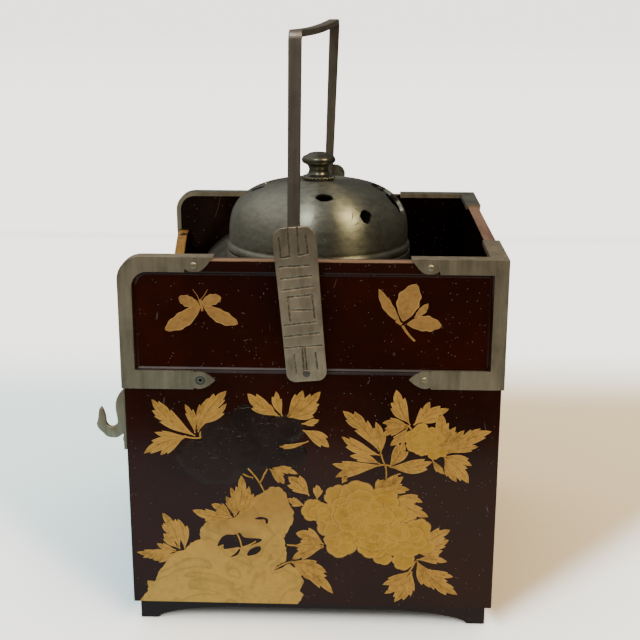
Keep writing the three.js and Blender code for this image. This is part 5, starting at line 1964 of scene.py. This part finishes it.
stageLook = {
    "reach": 60.0,
    "bounce": shade(0.75, 0.75, 0.75),
    "seen": (3.20, 3.20, 3.06),
    "fold": 0.87,
    "coolShade": shade(0.60, 0.74, 0.77),
    "warmShade": shade(0.475, 0.37, 0.225),
    "under": 0.20,
    "glowReach": 332,
    "coolGlow": shade(0.33, 0.51, 0.60),
    "warmGlow": shade(0.48, 0.50, 0.46),
}


def floorShade(tree, across, depth):
    # the part's own soft shade: cool on its left, warm on its right, deep beneath it; in metres
    gapX = less(tree, unsigned(tree, less(tree, across, caseX * mm)), halfLength * mm)
    gapY = less(tree, unsigned(tree, depth), halfWidth * mm)
    aside = sums(tree, "MAXIMUM", gapX, 0)
    beside = times(tree, less(tree, 1, steps(tree, gapX, -0.004, 0.006)), 0.02)
    line = less(tree, less(tree, depth, aside), beside)
    line = plus(tree, plus(tree, line, 0.104), times(tree, aside, 0.2))
    line = sums(tree, "DIVIDE", line, scaled(tree, aside, 0.5, 0.026))  # softer further out
    shadow = times(tree, steps(tree, line, 0.0, 1.0), steps(tree, depth, 0.39, 0.22))
    shadow = times(tree, shadow, steps(tree, gapX, 0.65, 0.20))
    warmth = steps(tree, across, -0.06, 0.06)
    tint = blendColour(tree, warmth, stageLook["coolShade"], stageLook["warmShade"])
    tint = blendColour(tree, shadow, shade(1, 1, 1), tint)
    inside = steps(tree, sums(tree, "MAXIMUM", gapX, gapY), -0.005, -0.014)
    return dimmed(tree, tint, blendValue(tree, inside, 1.0, stageLook["under"]))


def addFloor():
    # pale paper; the camera sees it at full white, while its light on the part stays soft
    look = stageLook
    finish = bpy.data.materials.new("floor_paper")
    tree = emptyTree(finish)
    across, depth = axes(tree, add(tree, "TexCoord").outputs["Object"])[:2]
    # painted shade on the flat floor: a darker band along the fold line, and darker still far away
    gap = unsigned(tree, less(tree, depth, look["fold"]))
    fold = times(tree, steps(tree, gap, 0.045, 0.0), 0.10)
    far = times(tree, steps(tree, depth, 1.5, 9.0), 0.16)
    pale = less(tree, 1.0, plus(tree, fold, far))
    inputs = {0: dimmed(tree, look["seen"], pale), 1: floorShade(tree, across, depth)}
    bright = add(tree, "VectorMath", inputs, operation="MULTIPLY").outputs[0]
    seen = add(tree, "LightPath").outputs["Is Camera Ray"]
    diffuse = add(tree, "BsdfDiffuse", {"Color": blendColour(tree, seen, look["bounce"], bright)})
    add(tree, "OutputMaterial", {"Surface": diffuse.outputs[0]})
    bpy.ops.mesh.primitive_circle_add(vertices=96, radius=look["reach"], fill_type="NGON")
    floor = bpy.context.object
    floor.name = "floor"
    floor.data.materials.append(finish)
    floor.visible_glossy = False
    floor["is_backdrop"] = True


def addCard():
    # a glow just over the floor, seen only in reflections: cool on the left, warm on the right
    name = "floor_glow"
    finish = bpy.data.materials.new(name)
    tree = emptyTree(finish)
    across = axes(tree, add(tree, "TexCoord").outputs["Object"])[0]
    warmth = steps(tree, across, -0.1, 0.12)
    glow = blendColour(tree, warmth, stageLook["coolGlow"], stageLook["warmGlow"])
    light = add(tree, "Emission", {"Color": glow, "Strength": 1.0})
    add(tree, "OutputMaterial", {"Surface": light.outputs[0]})
    reach = stageLook["glowReach"]
    corners = [Vector((x * reach, y * reach, 0.5)) * mm for x, y in ((-1, -1), (1, -1), (1, 1), (-1, 1))]
    data = bpy.data.meshes.new(name)
    data.from_pydata(corners, [], [(0, 1, 2, 3)])
    data.materials.append(finish)
    card = addObject(name, data)
    card.visible_camera = False
    card.visible_diffuse = False
    card.visible_shadow = False
    card.visible_transmission = False
    card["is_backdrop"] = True


lightLook = {  # place and size in metres, power in watts
    "key": {"place": (-0.2, -0.62, 1.1), "size": (0.28, 0.6), "energy": 4, "colour": (0.94, 0.98, 1.0)},
    "warm": {"place": (0.62, -0.46, 0.98), "size": (0.30, 0.55), "energy": 6.5, "colour": (1.0, 0.84, 0.50)},
}
lightTarget = (0, 0, 0.2)


def addLight(name, place, size, energy, colour):
    data = bpy.data.lights.new(name, "AREA")
    data.shape = "RECTANGLE"
    data.size, data.size_y = size
    data.energy = energy
    data.color = colour
    light = addObject(name, data)
    light.location = place
    light.rotation_euler = (Vector(lightTarget) - Vector(place)).to_track_quat("-Z", "Y").to_euler()
    light.visible_diffuse = False


roomLook = {
    "cool": shade(0.80, 0.90, 1.0),
    "warm": shade(1.08, 0.92, 0.74),
    "below": shade(0.022, 0.016, 0.012),
    "level": shade(0.12, 0.115, 0.105),
    "above": shade(0.50, 0.51, 0.52),
    "rightShare": 0.30,
    "leftShare": 1.72,
    "seen": shade(2.35, 2.35, 2.3),
}


def addRoom():
    # even light for matt surfaces, a dimmer room for reflections, and white behind the floor
    look = roomLook
    world = bpy.data.worlds.new("room")
    tree = emptyTree(world)
    ray = add(tree, "LightPath").outputs
    across, _, up = axes(tree, add(tree, "TexCoord").outputs["Generated"])
    low = blendColour(tree, steps(tree, up, -0.45, 0.05), look["below"], look["level"])
    mirrored = blendColour(tree, steps(tree, up, 0.05, 0.95), low, look["above"])
    leftward = blendValue(tree, steps(tree, across, 0.4, -0.7), look["rightShare"], look["leftShare"])
    tint = blendColour(tree, steps(tree, across, -0.9, 0.9), look["cool"], look["warm"])
    light = blendColour(tree, ray["Is Glossy Ray"], tint, dimmed(tree, mirrored, leftward))
    seen = blendColour(tree, ray["Is Camera Ray"], light, look["seen"])
    back = add(tree, "Background", {"Color": seen, "Strength": 1.0})
    add(tree, "OutputWorld", {"Surface": back.outputs[0]})
    scene.world = world


addCamera()
addFloor()
addRoom()
addCard()
for lightName, settings in lightLook.items():
    addLight(lightName, **settings)
print("studio is set")

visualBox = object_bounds()
boxes = {"cad": cadBox, "visual": visualBox}
{name: [list(corner) for corner in box] for name, box in boxes.items()}
